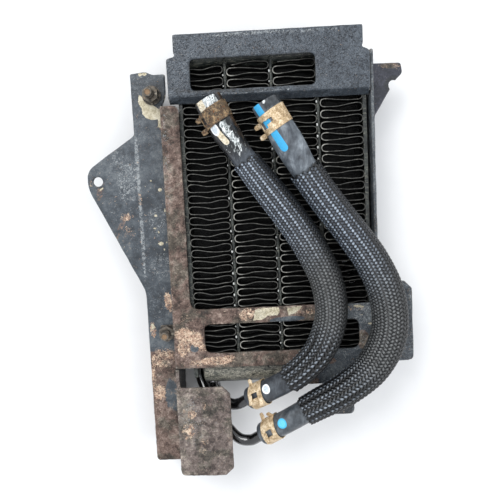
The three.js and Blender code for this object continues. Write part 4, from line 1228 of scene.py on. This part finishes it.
def guard_masks(x, y, z):
    scale = spots(x, y, [(-65.5, -140, 4, 3.6, 0.5, 30), (-68.6, -152, 5, 7, 0.5, 0),
                         (-56.8, -134, 1.6, 3.6, 0.46, 0), (-57.4, -160, 4, 3, 0.4, 0),
                         (-60, -166, 4, 3, 0.36, 0), (-71, -137.5, 2, 1.5, 0.42, 0)])
    scuff_and_highlight = 0.24 + spots(x, y, [(-66, -146, 8, 18, 0.14, 0)])
    # Faces below z 40, the folds that run back, are painted dark as their shade; the patch near x -45 darkens
    # too.
    return {"rust": 0.97, "scale": np.maximum(scale, 0.18), "scuff_and_highlight": scuff_and_highlight,
            "grime_and_shade": np.maximum(spots(x, y, [(-45, -165, 7, 22, 0.26, 0)]), 0.85 * (z < 40))}


def right_bracket_masks(x, y, z):
    ring = np.abs(np.hypot(x - 83.2, y - 80.8) - 4.6)
    rust = 0.1 + 0.5 * spots(x, y, [(81, 94, 8, 2.6, 1, 0)]) - 0.6 * (1 - smooth(ring, 0.8, 1.6))
    scale = spots(x, y, [(80, 93.5, 6, 2, 0.32, 0), (87, 92, 2, 2, 0.34, 0)])
    return {"rust": rust, "scale": np.maximum(scale, 0.1), "scuff_and_highlight": 0.2,
            "grime_and_shade": 0.3 + 0.5 * (1 - smooth(ring, 0.9, 1.9)) + 0.1 * spots(x, y, [(74, 76, 7, 12, 1, 0)])}


# ---- fasteners --------------------------------------------------------------------------------------
BOLT_PLACES = {"upper": (-82.3, 82.3), "lower": (-81.3, -83.5)}
THREAD_PITCH = 1.0
NUT_HALF = 5.0


def hexagon_radius(angle):
    return NUT_HALF / np.cos((angle + math.pi / 6) % (math.pi / 3) - math.pi / 6)


def add_fasteners():
    turns = np.linspace(0, 2 * math.pi, 72, endpoint=False)
    circle = np.stack([np.cos(turns), np.sin(turns)], 1)

    def chamfered(limit):
        """The radii of a hexagon with its corners turned down to a limit."""
        return np.minimum(hexagon_radius(turns), limit)

    def rings_of(place, sections):
        """Rings from (z, radii round the axis) sections."""
        return [np.c_[circle * np.broadcast_to(radius, turns.shape)[:, None] + place, np.full(len(turns), z)]
                for z, radius in sections]

    def make(name, rings, wrap, node, recess=None):
        heap = Heap()
        heap.add(rings, wrap)
        piece = heap.piece(name, MATERIALS["fastener"], "fastener_steel", (node,))
        face_outwards(piece)
        if recess:
            paint_mask(piece, "recess", recess)

    for label, place in BOLT_PLACES.items():
        head = rings_of(place, [
            (20.2, 3.2), (20.2, 4.6), (20.25, chamfered(5.0)), (20.8, chamfered(5.55)),
            (21.3, chamfered(5.8)),
            (23.8, chamfered(5.8)), (24.15, chamfered(5.5)), (24.2, 5.0), (24.2, 2.9)])
        levels = np.arange(24.2, 44.4, 0.125)
        shank = []
        for z in levels:
            phase = (z / THREAD_PITCH - turns / (2 * math.pi)) % 1
            depth = 0.32 * (1 - np.abs(2 * phase - 1)) if z > 30 else 0 * phase
            shank.append((z, np.minimum(2.98 - depth, 2.98 - 0.5 * max(0, z - 43.9))))
        tip = [(44.5, 2.75), (44.85, 2.6), (44.98, 2.35), (44.9, 2.0), (44.45, 1.7), (44.25, 1.2),
               (44.2, 0.5)]
        bolt_sections = head + rings_of(place, shank) + rings_of(place, tip)

        def recess(x, y, z):
            return float(z > 44 and math.hypot(x - place[0], y - place[1]) < 1.9)

        make(f"{label}_bolt_thread", bolt_sections, False, f"{label}_bolt", recess)
        nut = rings_of(place, [(31.8, 3.4), (32.0, 3.1), (36.6, 3.1), (36.8, 3.4), (36.8, chamfered(4.9)),
                               (36.7, chamfered(5.2)), (36.3, chamfered(5.6)), (36.0, chamfered(5.8)),
                               (32.4, chamfered(5.8)), (32.0, chamfered(5.4)), (31.8, chamfered(5.0))])
        make(f"{label}_nut_hex", nut, True, f"{label}_nut")
        if label == "upper":
            outer, node, name = np.full(len(turns), 6.5), "upper_washer", "upper_washer_ring"
        else:
            corner = (np.abs(circle[:, 0] / 5.0) ** 9 + np.abs(circle[:, 1] / 5.2) ** 9) ** (-1 / 9)
            outer, node, name = corner, "lower_square_clip", "lower_square_clip_plate"
        washer = rings_of(place, [(30.1, 3.4), (30.3, 3.2), (31.3, 3.2), (31.5, 3.4), (31.5, outer - 0.5),
                                  (31.42, outer - 0.2), (31.2, outer - 0.02), (30.4, outer - 0.02),
                                  (30.15, outer - 0.25), (30.1, outer - 0.6)])
        make(name, washer, True, node)


# ---- making the metal parts -------------------------------------------------------------------------
add_fins()
add_braze_beads()
add_deep_shade_slab()
add_header("header_bottom", -112.5, -121, -104)
add_header("header_top", 108, 130, 140)
add_pipe("pipe_lower", PIPE_LOWER_ROUTE, 7.8)
add_pipe("pipe_upper", PIPE_UPPER_ROUTE, 3.6)
add_sheet("front_frame", MATERIALS["frame"], 0.75, 0.22, frame_masks)
add_sheet("top_cover", MATERIALS["cover"], 0.7, 0.1, cover_masks)
add_sheet("left_bracket", MATERIALS["slate"], 0.65, 0.2, bracket_masks)
add_sheet("left_rail", MATERIALS["slate"], 0.8, 0.2, rail_masks)
add_sheet("guard_plate", MATERIALS["guard"], 0.65, 0.24, guard_masks)
add_sheet("right_bracket", MATERIALS["lilac"], 0.6, 0.2, right_bracket_masks)
add_fasteners()
for name in ("flat_tube_1", "flat_tube_2", "flat_tube_3", "core_strip_left", "core_strip_right"):
    NODES[name].data.materials.clear()
    NODES[name].data.materials.append(MATERIALS["core"])

# ---- stage ------------------------------------------------------------------------------------------
FLOOR_SIZE = 6
FLOOR_ROUGHNESS = 0.9
SKY_COLOUR = (0.93, 0.96, 1.0, 1)
SKY_STRENGTH = 1.0
LIGHTS = (
    # name, place in metres, size in metres, power in watts
    ("key_light", (-0.45, 0.75, 1.1), 0.65, 9.5),
    ("fill_light", (0.8, -0.2, 0.9), 0.7, 3.0),
)


def make_stage():
    bpy.ops.mesh.primitive_plane_add(size=FLOOR_SIZE, location=(0, 0, 0))
    floor = bpy.context.object
    floor.name = "floor"
    f = Finish("floor")
    colour = f.ramp(f.noise(60, 3), (0.3, (236, 236, 236)), (0.7, (242, 242, 242)))
    floor.data.materials.append(f.done(colour, FLOOR_ROUGHNESS))
    world = bpy.data.worlds.new("world")
    bpy.context.scene.world = world
    world.use_nodes = True
    sky = world.node_tree.nodes["Background"]
    sky.inputs["Color"].default_value = SKY_COLOUR
    sky.inputs["Strength"].default_value = SKY_STRENGTH
    for name, place, size, power in LIGHTS:
        light = bpy.data.objects.new(name, bpy.data.lights.new(name, "AREA"))
        bpy.context.scene.collection.objects.link(light)
        light.data.size = size
        light.data.energy = power
        light.location = place
        light.rotation_euler = (-Vector(place)).to_track_quat("-Z", "Y").to_euler()
    bpy.context.scene.view_settings.view_transform = "Standard"


make_stage()
